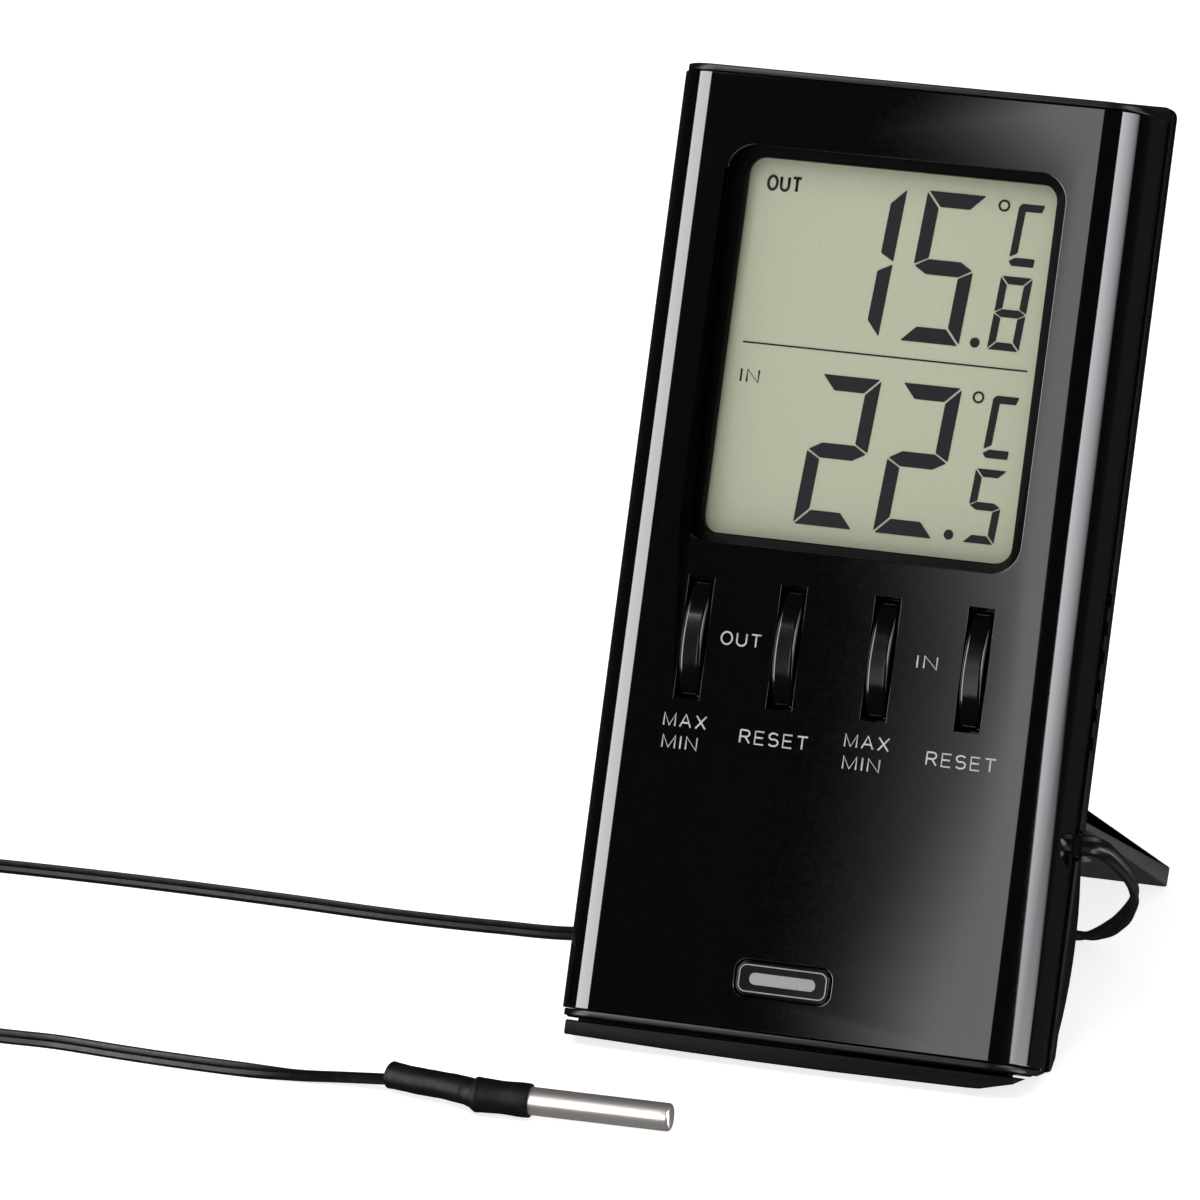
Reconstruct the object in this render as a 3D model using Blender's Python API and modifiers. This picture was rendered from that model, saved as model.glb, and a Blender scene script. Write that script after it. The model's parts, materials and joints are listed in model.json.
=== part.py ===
"""Maximum minimum thermometer with an indoor and an outdoor sensor, as an assembly of separate parts.

The case is modelled upright in its own frame: x to the right, y backwards from the fascia's front face,
z upwards from the lower rim. An empty then leans it back onto its stand, with the table at z = 0.
"""

import math

import bmesh
import bpy
from mathutils import Matrix, Vector

MM = 0.001

# Driving dimensions
CASE_WIDTH = 61.0 * MM
CASE_HEIGHT = 120.0 * MM
CASE_DEPTH = 15.6 * MM
LEAN = math.radians(22.23)
GAP = 0.3 * MM

# Front fascia: a sheet wrapped round the front and the two sides
ROLL_RADIUS = 5.0 * MM
FASCIA_DEPTH = 10.2 * MM
FASCIA_WALL = 1.8 * MM
RIM = 0.9 * MM
RIM_INSET = 0.25 * MM
FASCIA_LOW = RIM + GAP
FASCIA_TOP = CASE_HEIGHT - RIM - GAP

# Front housing
BAND_REAR = 12.5 * MM
HOUSING_WALL = 1.5 * MM
WEB_FRONT = FASCIA_WALL + GAP
WEB_REAR = WEB_FRONT + HOUSING_WALL
CORE_HALF_WIDTH = CASE_WIDTH / 2 - FASCIA_WALL - GAP
CAVITY_HALF_WIDTH = CORE_HALF_WIDTH - HOUSING_WALL
CAVITY_LOW = 2.0 * MM
CAVITY_TOP = CASE_HEIGHT - 2.0 * MM

# Display window, bezel and liquid crystal display
WINDOW_LEFT = -22.0 * MM
WINDOW_RIGHT = 22.15 * MM
WINDOW_LOW = 60.6 * MM
WINDOW_TOP = 110.35 * MM
WINDOW_CORNER = 3.6 * MM
VIEW_LEFT = -20.1 * MM
VIEW_RIGHT = 20.4 * MM
VIEW_LOW = 61.9 * MM
VIEW_TOP = 109.2 * MM
VIEW_CORNER = 2.1 * MM
GLASS_HALF_WIDTH = 22.0 * MM
GLASS_LOW = 59.5 * MM
GLASS_TOP = 112.0 * MM
GLASS_THICKNESS = 1.2 * MM
REFLECTOR_THICKNESS = 0.8 * MM
CONNECTOR_HEIGHT = 1.3 * MM

# Keys in their slots
KEY_PLACES = {
    "out_max_min_key": -18.3 * MM,
    "out_reset_key": -6.15 * MM,
    "in_max_min_key": 6.15 * MM,
    "in_reset_key": 18.3 * MM,
}
KEY_Z = 48.45 * MM
SLOT_HALF_WIDTH = 1.7 * MM
SLOT_HALF_HEIGHT = 7.75 * MM
KEY_HALF_WIDTH = 1.35 * MM
KEY_HALF_HEIGHT = 7.45 * MM
KEY_RISE = 1.1 * MM
KEY_ARC_RADIUS = 13.3 * MM
KEY_FLANGE_HALF_WIDTH = 2.6 * MM
KEY_FLANGE_HALF_HEIGHT = 8.6 * MM
KEY_FLANGE_THICKNESS = 0.8 * MM
KEY_TRAVEL = 0.6 * MM

# Circuit board behind the display
BOARD_FRONT = 7.7 * MM
BOARD_REAR = 8.7 * MM
BOARD_HALF_WIDTH = 22.0 * MM
BOARD_LOW = 31.2 * MM
BOARD_TOP = 113.0 * MM
BOARD_SCREW_X = 12.25 * MM

# Rear cover
COVER_FRONT = 13.5 * MM
COVER_INNER = 14.0 * MM
COVER_HALF_WIDTH = 30.5 * MM
COVER_TOP = 121.4 * MM
COVER_CORNER = 1.2 * MM
FOOT_FRONT = 2.5 * MM
FOOT_TOP = -0.5 * MM
FOOT_BOTTOM = -2.75 * MM
FOOT_END_RISE = 0.4 * MM
FOOT_CORNER = 0.7 * MM
FOOT_END_INSET = 1.1 * MM
FOOT_ROUNDING = 0.8 * MM

# The face that bevels the lower right end: its height at x = 0 and y = 0, and its slopes along x and y
END_BEVEL_BASE = -9.17 * MM
END_BEVEL_SIDE = 0.25
END_BEVEL_BACK = 0.168
RISER_FRONT = 9.0 * MM
RISER_TOP = 3.0 * MM
RISER_HALF_WIDTH = 26.6 * MM
BASE_START_Y = 6.0 * MM
BASE_START_Z = -2.6 * MM
BASE_END_Y = 14.3 * MM
BULGE_LOW = 5.5 * MM
BULGE_TOP = 27.0 * MM
BULGE_RISE = 2.3 * MM

# Battery bay, for one AAA cell lying across the case
CELL_RADIUS = 5.2 * MM
CELL_LENGTH = 44.5 * MM
CELL_Y = 10.6 * MM
CELL_Z = 16.5 * MM
CELL_LEFT = -20.3 * MM
BAY_HALF_WIDTH = 25.5 * MM
BAY_HALF_HEIGHT = 5.8 * MM
BAY_FLOOR = 5.1 * MM
BAY_WALL = 1.2 * MM
DOOR_HALF_WIDTH = 26.2 * MM
DOOR_HALF_HEIGHT = 7.0 * MM
DOOR_INNER = 16.1 * MM

# Fold-out stand, hinged low on the back
HINGE_Y = 13.85 * MM
HINGE_Z = 35.7 * MM
STAND_LENGTH = 65.0 * MM
STAND_THICKNESS = 2.6 * MM
STAND_HALF_WIDTH = 24.3 * MM
PIN_RADIUS = 1.1 * MM
PIN_END = 25.9 * MM
RECESS_HALF_WIDTH = 24.9 * MM
RECESS_FLOOR = 12.2 * MM
RECESS_LOW = 33.0 * MM
RECESS_TOP = 102.2 * MM
RECESS_WALL = 1.4 * MM

# Keyhole for hanging the case on a wall
KEYHOLE_Z = 108.2 * MM
KEYHOLE_RADIUS = 3.6 * MM

# Screws
CASE_SCREWS = {
    "case_screw_upper_left": (-24.5 * MM, 109.5 * MM),
    "case_screw_upper_right": (24.5 * MM, 109.5 * MM),
    "case_screw_lower_left": (-20.0 * MM, 28.8 * MM),
    "case_screw_lower_right": (20.0 * MM, 28.8 * MM),
}
BOSS_RADIUS = 2.0 * MM
SCREW_SHANK = 0.8 * MM
SCREW_HEAD = 1.8 * MM

# Badge plate
BADGE_X = -1.0 * MM
BADGE_Z = 7.4 * MM
BADGE_HALF_WIDTH = 6.0 * MM
BADGE_HALF_HEIGHT = 2.0 * MM

# Sensor lead: flat twin, and the parts on it
LEAD_WIDTH = 2.2 * MM
LEAD_Y = 13.6 * MM
LEAD_Z = 29.0 * MM
LEAD_HOLE_RADIUS = 1.8 * MM
BUSH_RADIUS = 1.6 * MM
COIL_CENTRE = Vector((-141.0, -39.0, 0.8)) * MM
COIL_INNER = 15.2 * MM
COIL_OUTER = 25.4 * MM
COIL_HEIGHT = 7.8 * MM
TIE_WIDTH = 3.0 * MM
TIE_THICKNESS = 0.5 * MM
PROBE_RADIUS = 1.75 * MM
PROBE_EDGE = 0.5 * MM
SLEEVE_RADIUS = 2.2 * MM
SLEEVE_GAP = 0.12 * MM
SLIM_SLEEVE_RADIUS = 1.85 * MM

# Routes on the table, chosen by hand, in metres in the leaned frame
LEAD_RUN = [
    (0.0308, -0.0183, 0.0264),
    (0.0320, -0.0181, 0.0264),
    (0.0332, -0.0163, 0.0252),
    (0.0338, -0.0116, 0.0218),
    (0.0335, -0.0059, 0.0177),
    (0.0318, 0.0011, 0.0127),
    (0.0281, 0.0081, 0.0075),
    (0.0235, 0.0136, 0.0034),
    (0.0192, 0.0170, 0.0014),
    (0.0120, 0.0192, 0.0012),
    (0.0010, 0.0180, 0.0012),
    (-0.0120, 0.0120, 0.0012),
    (-0.0250, 0.0040, 0.0012),
    (-0.0400, -0.0036, 0.0012),
    (-0.0518, -0.0052, 0.0012),
    (-0.0657, -0.0058, 0.0012),
    (-0.0797, -0.0054, 0.0012),
    (-0.0934, -0.0052, 0.0012),
    (-0.1071, -0.0054, 0.0012),
    (-0.1209, -0.0060, 0.0012),
    (-0.1370, -0.0072, 0.0012),
    (-0.1530, -0.0120, 0.0012),
    (-0.1640, -0.0220, 0.0012),
    (-0.1680, -0.0340, 0.0012),
]
PROBE_RUN = [
    (-0.1420, -0.0657, 0.0052),
    (-0.1280, -0.0656, 0.0028),
    (-0.1120, -0.0644, 0.0014),
    (-0.0958, -0.0635, 0.0012),
    (-0.0883, -0.0631, 0.0012),
    (-0.0801, -0.0636, 0.0012),
    (-0.0724, -0.0639, 0.0012),
    (-0.0637, -0.0639, 0.0012),
    (-0.0561, -0.0634, 0.0012),
    (-0.0505, -0.0626, 0.0014),
    (-0.0440, -0.0624, 0.0019),
]
SLEEVE_REAR = [
    (-0.0437, -0.0625, 0.0020),
    (-0.0400, -0.0635, 0.0021),
    (-0.0360, -0.0642, 0.0022),
    (-0.0325, -0.0654, 0.0024),
]
SLEEVE_FRONT_START = Vector((-0.0317, -0.06624, 0.00246))
PROBE_START = Vector((-0.0290, -0.0660, 0.0024))
PROBE_TIP = Vector((-0.0066, -0.0640, 0.0019))


def clear_scene():
    for item in list(bpy.data.objects):
        bpy.data.objects.remove(item, do_unlink=True)


def make_collection():
    collection = bpy.data.collections.new("maximum_minimum_thermometer")
    bpy.context.scene.collection.children.link(collection)
    return collection


def material(name, colour, roughness, metallic=0.0):
    made = bpy.data.materials.new(name)
    made.use_nodes = True
    shader = made.node_tree.nodes["Principled BSDF"]
    shader.inputs["Base Color"].default_value = (*colour, 1.0)
    shader.inputs["Roughness"].default_value = roughness
    shader.inputs["Metallic"].default_value = metallic
    return made


def object_from_bmesh(name, shape):
    bmesh.ops.recalc_face_normals(shape, faces=shape.faces)
    mesh = bpy.data.meshes.new(name)
    shape.to_mesh(mesh)
    shape.free()
    made = bpy.data.objects.new(name, mesh)
    PARTS.objects.link(made)
    return made


def box(name, low, high):
    """A block between two opposite corners."""
    low = Vector(low)
    high = Vector(high)
    shape = bmesh.new()
    bmesh.ops.create_cube(shape, size=1.0)
    bmesh.ops.scale(shape, vec=high - low, verts=shape.verts)
    bmesh.ops.translate(shape, vec=(low + high) / 2, verts=shape.verts)
    return object_from_bmesh(name, shape)


def cylinder(name, start, end, radius, sides=24, end_radius=None):
    """A round bar, or a cone, from one point to another."""
    start = Vector(start)
    end = Vector(end)
    along = end - start
    shape = bmesh.new()
    bmesh.ops.create_cone(
        shape,
        cap_ends=True,
        segments=sides,
        radius1=radius,
        radius2=radius if end_radius is None else end_radius,
        depth=along.length,
    )
    turn = along.to_track_quat("Z", "Y").to_matrix()
    bmesh.ops.rotate(shape, matrix=turn, verts=shape.verts)
    bmesh.ops.translate(shape, vec=(start + end) / 2, verts=shape.verts)
    return object_from_bmesh(name, shape)


def evaluated_mesh(item):
    bpy.context.view_layer.update()
    graph = bpy.context.evaluated_depsgraph_get()
    return bpy.data.meshes.new_from_object(item.evaluated_get(graph))


def settle(item):
    """Keep what the object's modifiers or curve settings make, as its plain mesh."""
    mesh = evaluated_mesh(item)
    shape = bmesh.new()
    shape.from_mesh(mesh)
    bmesh.ops.remove_doubles(shape, verts=shape.verts, dist=0.000001)
    name = item.name
    matrix = item.matrix_world.copy()
    bpy.data.objects.remove(item, do_unlink=True)
    made = object_from_bmesh(name, shape)
    made.name = name
    made.matrix_world = matrix
    return made


# Where an outline's own x, y and thickness point: the plane it lies in, named by the axis across it
OUTLINE_FRAMES = {
    "z": Matrix.Identity(4),
    "y": Matrix(((1, 0, 0, 0), (0, 0, -1, 0), (0, 1, 0, 0), (0, 0, 0, 1))),
    "x": Matrix(((0, 0, 1, 0), (1, 0, 0, 0), (0, 1, 0, 0), (0, 0, 0, 1))),
}


def extruded(name, outline, axis, low, high):
    """A flat outline made thick along x, y or z, between low and high."""
    curve = bpy.data.curves.new(name, "CURVE")
    curve.dimensions = "2D"
    curve.fill_mode = "BOTH"
    curve.extrude = (high - low) / 2
    spline = curve.splines.new("POLY")
    spline.points.add(len(outline) - 1)
    for point, (across, up) in zip(spline.points, outline):
        point.co = (across, up, 0.0, 1.0)
    spline.use_cyclic_u = True
    item = bpy.data.objects.new(name, curve)
    PARTS.objects.link(item)
    made = settle(item)
    middle = (low + high) / 2
    shift = {"x": (middle, 0, 0), "y": (0, middle, 0), "z": (0, 0, middle)}[axis]
    made.data.transform(Matrix.Translation(shift) @ OUTLINE_FRAMES[axis])
    made.data.update()
    return made


def arc(centre, radius, start, end, steps):
    """Points on a circle, between two angles in degrees."""
    points = []
    for step in range(steps + 1):
        angle = math.radians(start + (end - start) * step / steps)
        points.append((centre[0] + radius * math.cos(angle), centre[1] + radius * math.sin(angle)))
    return points


def rounded_rectangle(left, right, low, top, radius, steps=5):
    return (
        arc((right - radius, low + radius), radius, -90, 0, steps)
        + arc((right - radius, top - radius), radius, 0, 90, steps)
        + arc((left + radius, top - radius), radius, 90, 180, steps)
        + arc((left + radius, low + radius), radius, 180, 270, steps)
    )


def combine(target, tool, operation):
    """Join a tool to the target, cut it away, or keep what they share; the tool is used up."""
    change = target.modifiers.new(operation.lower(), "BOOLEAN")
    change.operation = operation
    change.solver = "EXACT"
    change.object = tool
    mesh = evaluated_mesh(target)
    target.modifiers.remove(change)
    old = target.data
    target.data = mesh
    bpy.data.meshes.remove(old)
    bpy.data.objects.remove(tool, do_unlink=True)
    return target


def join(target, tool):
    return combine(target, tool, "UNION")


def cut(target, tool):
    return combine(target, tool, "DIFFERENCE")


def keep_shared(target, tool):
    return combine(target, tool, "INTERSECT")


def soften(item, width, segments=2, angle=50):
    """Round the edges that are sharper than an angle."""
    bevel = item.modifiers.new("rounded_edges", "BEVEL")
    bevel.width = width
    bevel.segments = segments
    bevel.limit_method = "ANGLE"
    bevel.angle_limit = math.radians(angle)
    return item


def finish(item, look, smooth=True):
    item.data.materials.clear()
    item.data.materials.append(look)
    if smooth:
        item.data.shade_smooth()
        item.data.set_sharp_from_angle(angle=math.radians(35))
    return item


def turned(name, profile, sides=24):
    """A profile of (radius, height) points, top to bottom, turned round the z axis."""
    mesh = bpy.data.meshes.new(name)
    edges = [(index, index + 1) for index in range(len(profile) - 1)]
    mesh.from_pydata([(radius, 0.0, height) for radius, height in profile], edges, [])
    item = bpy.data.objects.new(name, mesh)
    PARTS.objects.link(item)
    screw = item.modifiers.new("turned", "SCREW")
    screw.axis = "Z"
    screw.steps = sides
    screw.render_steps = sides
    screw.use_merge_vertices = True
    screw.merge_threshold = 0.00001
    return settle(item)


def smooth_route(points, spacing):
    """Points along the smooth curve through a route, about a spacing apart."""
    route = [Vector(point) for point in points]
    route = [2 * route[0] - route[1]] + route + [2 * route[-1] - route[-2]]
    fine = []
    for before, start, end, after in zip(route, route[1:], route[2:], route[3:]):
        steps = max(1, round((end - start).length / spacing))
        for step in range(steps):
            t = step / steps
            bend = 2 * start + (end - before) * t
            bend += (2 * before - 5 * start + 4 * end - after) * t * t
            bend += (3 * start - before - 3 * end + after) * t * t * t
            fine.append(bend / 2)
    fine.append(route[-2])
    return fine


def tube(name, points, radius, spacing, resolution=2):
    """A round cord or wire along a smooth route."""
    curve = bpy.data.curves.new(name, "CURVE")
    curve.dimensions = "3D"
    curve.bevel_depth = radius
    curve.bevel_resolution = resolution
    curve.use_fill_caps = True
    line = smooth_route(points, spacing)
    spline = curve.splines.new("POLY")
    spline.points.add(len(line) - 1)
    for point, place in zip(spline.points, line):
        point.co = (*place, 1.0)
    item = bpy.data.objects.new(name, curve)
    PARTS.objects.link(item)
    return settle(item)


def base_height(y):
    """Height in the case frame of the table plane, at a depth y."""
    return BASE_START_Z + math.tan(LEAN) * (y - BASE_START_Y)


def make_fascia():
    half = CASE_WIDTH / 2
    inner = ROLL_RADIUS - FASCIA_WALL
    left = (-half + ROLL_RADIUS, ROLL_RADIUS)
    right = (half - ROLL_RADIUS, ROLL_RADIUS)
    outline = [(-half, FASCIA_DEPTH)]
    outline += arc(left, ROLL_RADIUS, 180, 270, 10)
    outline += arc(right, ROLL_RADIUS, 270, 360, 10)
    outline += [(half, FASCIA_DEPTH), (half - FASCIA_WALL, FASCIA_DEPTH)]
    outline += arc(right, inner, 360, 270, 8)
    outline += arc(left, inner, 270, 180, 8)
    outline += [(-half + FASCIA_WALL, FASCIA_DEPTH)]
    fascia = extruded("front_fascia", outline, "z", FASCIA_LOW, FASCIA_TOP)
    window = rounded_rectangle(WINDOW_LEFT, WINDOW_RIGHT, WINDOW_LOW, WINDOW_TOP, WINDOW_CORNER)
    cut(fascia, extruded("window_cutter", window, "y", -1 * MM, 3 * MM))
    for x in KEY_PLACES.values():
        low = (x - SLOT_HALF_WIDTH, -1 * MM, KEY_Z - SLOT_HALF_HEIGHT)
        high = (x + SLOT_HALF_WIDTH, 3 * MM, KEY_Z + SLOT_HALF_HEIGHT)
        cut(fascia, box("slot_cutter", low, high))
    wide = BADGE_HALF_WIDTH + GAP
    tall = BADGE_HALF_HEIGHT + GAP
    pocket = rounded_rectangle(BADGE_X - wide, BADGE_X + wide, BADGE_Z - tall, BADGE_Z + tall, 1.5 * MM)
    cut(fascia, extruded("pocket_cutter", pocket, "y", -1 * MM, 0.8 * MM))
    return finish(fascia, material("gloss_black", (0.006, 0.006, 0.007), 0.06))


def make_badge():
    outline = rounded_rectangle(
        BADGE_X - BADGE_HALF_WIDTH,
        BADGE_X + BADGE_HALF_WIDTH,
        BADGE_Z - BADGE_HALF_HEIGHT,
        BADGE_Z + BADGE_HALF_HEIGHT,
        1.2 * MM,
    )
    badge = extruded("badge_plate", outline, "y", -0.25 * MM, 0.5 * MM)
    soften(badge, 0.15 * MM, 1)
    return finish(badge, material("satin_silver", (0.55, 0.55, 0.56), 0.35, 0.9))


def plan_outline(half, front, rear, radius):
    """An outline seen from above, with round front corners."""
    left = arc((-half + radius, front + radius), radius, 180, 270, 8)
    right = arc((half - radius, front + radius), radius, 270, 360, 8)
    return [(-half, rear)] + left + right + [(half, rear)]


def make_housing():
    half = CASE_WIDTH / 2 - RIM_INSET
    rim = plan_outline(half, RIM_INSET, BAND_REAR, ROLL_RADIUS - RIM_INSET)
    core = plan_outline(CORE_HALF_WIDTH, WEB_FRONT, BAND_REAR, ROLL_RADIUS - FASCIA_WALL - GAP)
    overlap = RIM / 2
    housing = extruded("front_housing", core, "z", overlap, CASE_HEIGHT - overlap)
    join(housing, extruded("lower_rim", rim, "z", 0.0, RIM))
    join(housing, extruded("upper_rim", rim, "z", CASE_HEIGHT - RIM, CASE_HEIGHT))
    band_low = (-half, FASCIA_DEPTH + GAP, overlap)
    join(housing, box("side_band", band_low, (half, BAND_REAR, CASE_HEIGHT - overlap)))
    plinth_low = (-half + 0.9 * MM, 3.0 * MM, FOOT_TOP + GAP)
    join(housing, box("plinth", plinth_low, (half - 0.9 * MM, BAND_REAR, overlap)))
    cavity_high = (CAVITY_HALF_WIDTH, BAND_REAR + 1 * MM, CAVITY_TOP)
    cut(housing, box("cavity", (-CAVITY_HALF_WIDTH, WEB_REAR, CAVITY_LOW), cavity_high))
    low = (-CAVITY_HALF_WIDTH, RISER_FRONT - GAP, -2 * MM)
    cut(housing, box("riser_space", low, (CAVITY_HALF_WIDTH, BAND_REAR + 1 * MM, RISER_TOP + GAP)))
    trim = [
        (8 * MM, base_height(8 * MM) + GAP),
        (8 * MM, -6 * MM),
        (15 * MM, -6 * MM),
        (15 * MM, base_height(15 * MM) + GAP),
    ]
    cut(housing, extruded("table_trim", trim, "x", -40 * MM, 40 * MM))
    cut(housing, end_bevel())
    for x, z in CASE_SCREWS.values():
        boss_end = (x, COVER_INNER - GAP, z)
        join(housing, cylinder("boss", (x, WEB_REAR - 0.5 * MM, z), boss_end, BOSS_RADIUS, 20))
        cut(housing, cylinder("pilot", (x, 7 * MM, z), (x, 15 * MM, z), SCREW_SHANK + GAP, 16))
    for x in (-BOARD_SCREW_X, BOARD_SCREW_X):
        post_end = (x, BOARD_FRONT - GAP, KEY_Z)
        join(housing, cylinder("post", (x, WEB_REAR - 0.5 * MM, KEY_Z), post_end, 1.7 * MM, 20))
        cut(housing, cylinder("pilot", (x, 4.6 * MM, KEY_Z), (x, 8 * MM, KEY_Z), 1.0 * MM, 16))
    view = rounded_rectangle(VIEW_LEFT, VIEW_RIGHT, VIEW_LOW, VIEW_TOP, VIEW_CORNER)
    cut(housing, extruded("view_cutter", view, "y", WEB_FRONT - 1 * MM, WEB_REAR + 1 * MM))
    for x in KEY_PLACES.values():
        wide = SLOT_HALF_WIDTH
        tall = SLOT_HALF_HEIGHT
        low = (x - wide, WEB_FRONT - 1 * MM, KEY_Z - tall)
        cut(housing, box("slot_cutter", low, (x + wide, WEB_REAR + 1 * MM, KEY_Z + tall)))
    cut(housing, lead_hole_cutter())
    return finish(housing, material("satin_black", (0.018, 0.018, 0.020), 0.38))


def end_bevel():
    """A wedge under the right end of the case, whose upper face rises towards that end and the back."""
    wedge = box("end_bevel", (10 * MM, -1 * MM, -20 * MM), (40 * MM, 20 * MM, 0.0))
    for vertex in wedge.data.vertices:
        if vertex.co.z > -10 * MM:
            rise = END_BEVEL_SIDE * vertex.co.x + END_BEVEL_BACK * vertex.co.y
            vertex.co.z = END_BEVEL_BASE + rise
    return wedge


def lead_hole_cutter():
    ends = ((26 * MM, LEAD_Y, LEAD_Z), (32 * MM, LEAD_Y, LEAD_Z))
    return cylinder("lead_hole", *ends, LEAD_HOLE_RADIUS, 24)


def bulge_profile():
    """The back's outline over the battery, as (y, z) points from its lower to its upper end."""
    chord = (BULGE_TOP - BULGE_LOW) / 2
    radius = (chord * chord + BULGE_RISE * BULGE_RISE) / (2 * BULGE_RISE)
    middle = (CASE_DEPTH + BULGE_RISE - radius, (BULGE_LOW + BULGE_TOP) / 2)
    angle = math.degrees(math.asin(chord / radius))
    return arc(middle, radius, -angle, angle, 10)


def cover_outline():
    """The cover seen from behind: round corners, and a lower edge that bows down a little."""
    half = COVER_HALF_WIDTH
    corner = COVER_CORNER
    end_z = FOOT_BOTTOM + FOOT_END_RISE
    outline = []
    steps = 12
    reach = half - FOOT_CORNER
    for step in range(steps + 1):
        x = -reach + 2 * reach * step / steps
        outline.append((x, FOOT_BOTTOM + FOOT_END_RISE * (x / reach) ** 2))
    outline += arc((reach, end_z + FOOT_CORNER), FOOT_CORNER, -90, 0, 5)[1:]
    outline += arc((half - corner, COVER_TOP - corner), corner, 0, 90, 6)
    outline += arc((-half + corner, COVER_TOP - corner), corner, 90, 180, 6)
    outline += arc((-reach, end_z + FOOT_CORNER), FOOT_CORNER, 180, 270, 5)[:-1]
    return outline


def make_rear_cover():
    half = COVER_HALF_WIDTH
    flat_start = BASE_START_Y + (FOOT_BOTTOM - 0.2 * MM - BASE_START_Z) / math.tan(LEAN)
    side = [
        (FOOT_FRONT, FOOT_TOP + 1 * MM),
        (FOOT_FRONT, FOOT_BOTTOM - 0.2 * MM),
        (flat_start, FOOT_BOTTOM - 0.2 * MM),
        (BASE_END_Y, base_height(BASE_END_Y)),
        (CASE_DEPTH, 2.6 * MM),
    ]
    side += bulge_profile()
    side += [(CASE_DEPTH, COVER_TOP + 1 * MM), (FOOT_FRONT, COVER_TOP + 1 * MM)]
    cover = extruded("rear_cover", side, "x", -half - 1 * MM, half + 1 * MM)
    keep_shared(cover, extruded("outline", cover_outline(), "y", 0.0, 30 * MM))
    plan = plan_outline(half, FOOT_FRONT, 30 * MM, FOOT_ROUNDING)
    keep_shared(cover, extruded("plan", plan, "z", -10 * MM, 130 * MM))
    housing_space = [
        (-1 * MM, FOOT_TOP),
        (RISER_FRONT, FOOT_TOP),
        (RISER_FRONT, RISER_TOP),
        (COVER_FRONT, RISER_TOP),
        (COVER_FRONT, 130 * MM),
        (-1 * MM, 130 * MM),
    ]
    cut(cover, extruded("housing_space", housing_space, "x", -40 * MM, 40 * MM))
    for sign in (-1, 1):
        inner, outer = sorted((sign * RISER_HALF_WIDTH, sign * 40 * MM))
        cut(cover, box("riser_end", (inner, 0.0, FOOT_TOP), (outer, COVER_FRONT, 5 * MM)))
        inner, outer = sorted((sign * (half - FOOT_END_INSET), sign * 40 * MM))
        cut(cover, box("foot_end", (inner, 0.0, -10 * MM), (outer, COVER_FRONT, 1 * MM)))
    cut(cover, end_bevel())
    inside = rounded_rectangle(-28.7 * MM, 28.7 * MM, 3.0 * MM, 117.8 * MM, 3.0 * MM)
    cut(cover, extruded("inside", inside, "y", COVER_FRONT - 1 * MM, COVER_INNER))
    make_recess(cover)
    make_bay(cover)
    for x, z in CASE_SCREWS.values():
        cut(cover, cylinder("clearance", (x, 13 * MM, z), (x, 19 * MM, z), SCREW_SHANK + GAP, 16))
        cut(cover, cylinder("counterbore", (x, 14.5 * MM, z), (x, 19 * MM, z), SCREW_HEAD + GAP, 24))
    keyhole_line = ((0, 13 * MM, KEYHOLE_Z), (0, 17 * MM, KEYHOLE_Z))
    cut(cover, cylinder("keyhole", *keyhole_line, KEYHOLE_RADIUS, 24))
    slot = rounded_rectangle(-1.5 * MM, 1.5 * MM, KEYHOLE_Z, KEYHOLE_Z + 6.5 * MM, 1.49 * MM)
    cut(cover, extruded("keyhole_slot", slot, "y", 13 * MM, 17 * MM))
    for side_sign in (-1, 1):
        for step in range(6):
            z = 41 * MM + step * 3.6 * MM
            ends = sorted((side_sign * 28 * MM, side_sign * 32 * MM))
            cut(cover, box("vent", (ends[0], 13 * MM, z), (ends[1], 14.6 * MM, z + 1.4 * MM)))
    cut(cover, lead_hole_cutter())
    return finish(cover, material("textured_black", (0.022, 0.022, 0.024), 0.5))


def make_recess(cover):
    """The pan that the folded stand lies in, with holes in its sides for the hinge pins."""
    wall = RECESS_WALL
    wide = RECESS_HALF_WIDTH + wall
    pan_low = (-wide, RECESS_FLOOR - wall, RECESS_LOW - wall)
    join(cover, box("pan", pan_low, (wide, COVER_INNER + 0.5 * MM, RECESS_TOP + wall)))
    recess_low = (-RECESS_HALF_WIDTH, RECESS_FLOOR, RECESS_LOW)
    cut(cover, box("recess", recess_low, (RECESS_HALF_WIDTH, 20 * MM, RECESS_TOP)))
    reach = RECESS_HALF_WIDTH + wall + 0.5 * MM
    pin_line = ((-reach, HINGE_Y, HINGE_Z), (reach, HINGE_Y, HINGE_Z))
    cut(cover, cylinder("pin_holes", *pin_line, PIN_RADIUS + GAP, 20))


def make_bay(cover):
    """The battery bay's walls, and the seat that the door lies in."""
    wide = BAY_HALF_WIDTH + BAY_WALL
    tall = BAY_HALF_HEIGHT + BAY_WALL
    low = (-wide, BAY_FLOOR - BAY_WALL, CELL_Z - tall)
    join(cover, box("bay", low, (wide, COVER_INNER + 1 * MM, CELL_Z + tall)))
    hollow_low = (-BAY_HALF_WIDTH, BAY_FLOOR, CELL_Z - BAY_HALF_HEIGHT)
    cut(cover, box("bay_hollow", hollow_low, (BAY_HALF_WIDTH, 20 * MM, CELL_Z + BAY_HALF_HEIGHT)))
    seat_wide = DOOR_HALF_WIDTH + GAP
    seat_tall = DOOR_HALF_HEIGHT + GAP
    seat_low = (-seat_wide, DOOR_INNER - GAP, CELL_Z - seat_tall)
    cut(cover, box("door_seat", seat_low, (seat_wide, 20 * MM, CELL_Z + seat_tall)))


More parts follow.
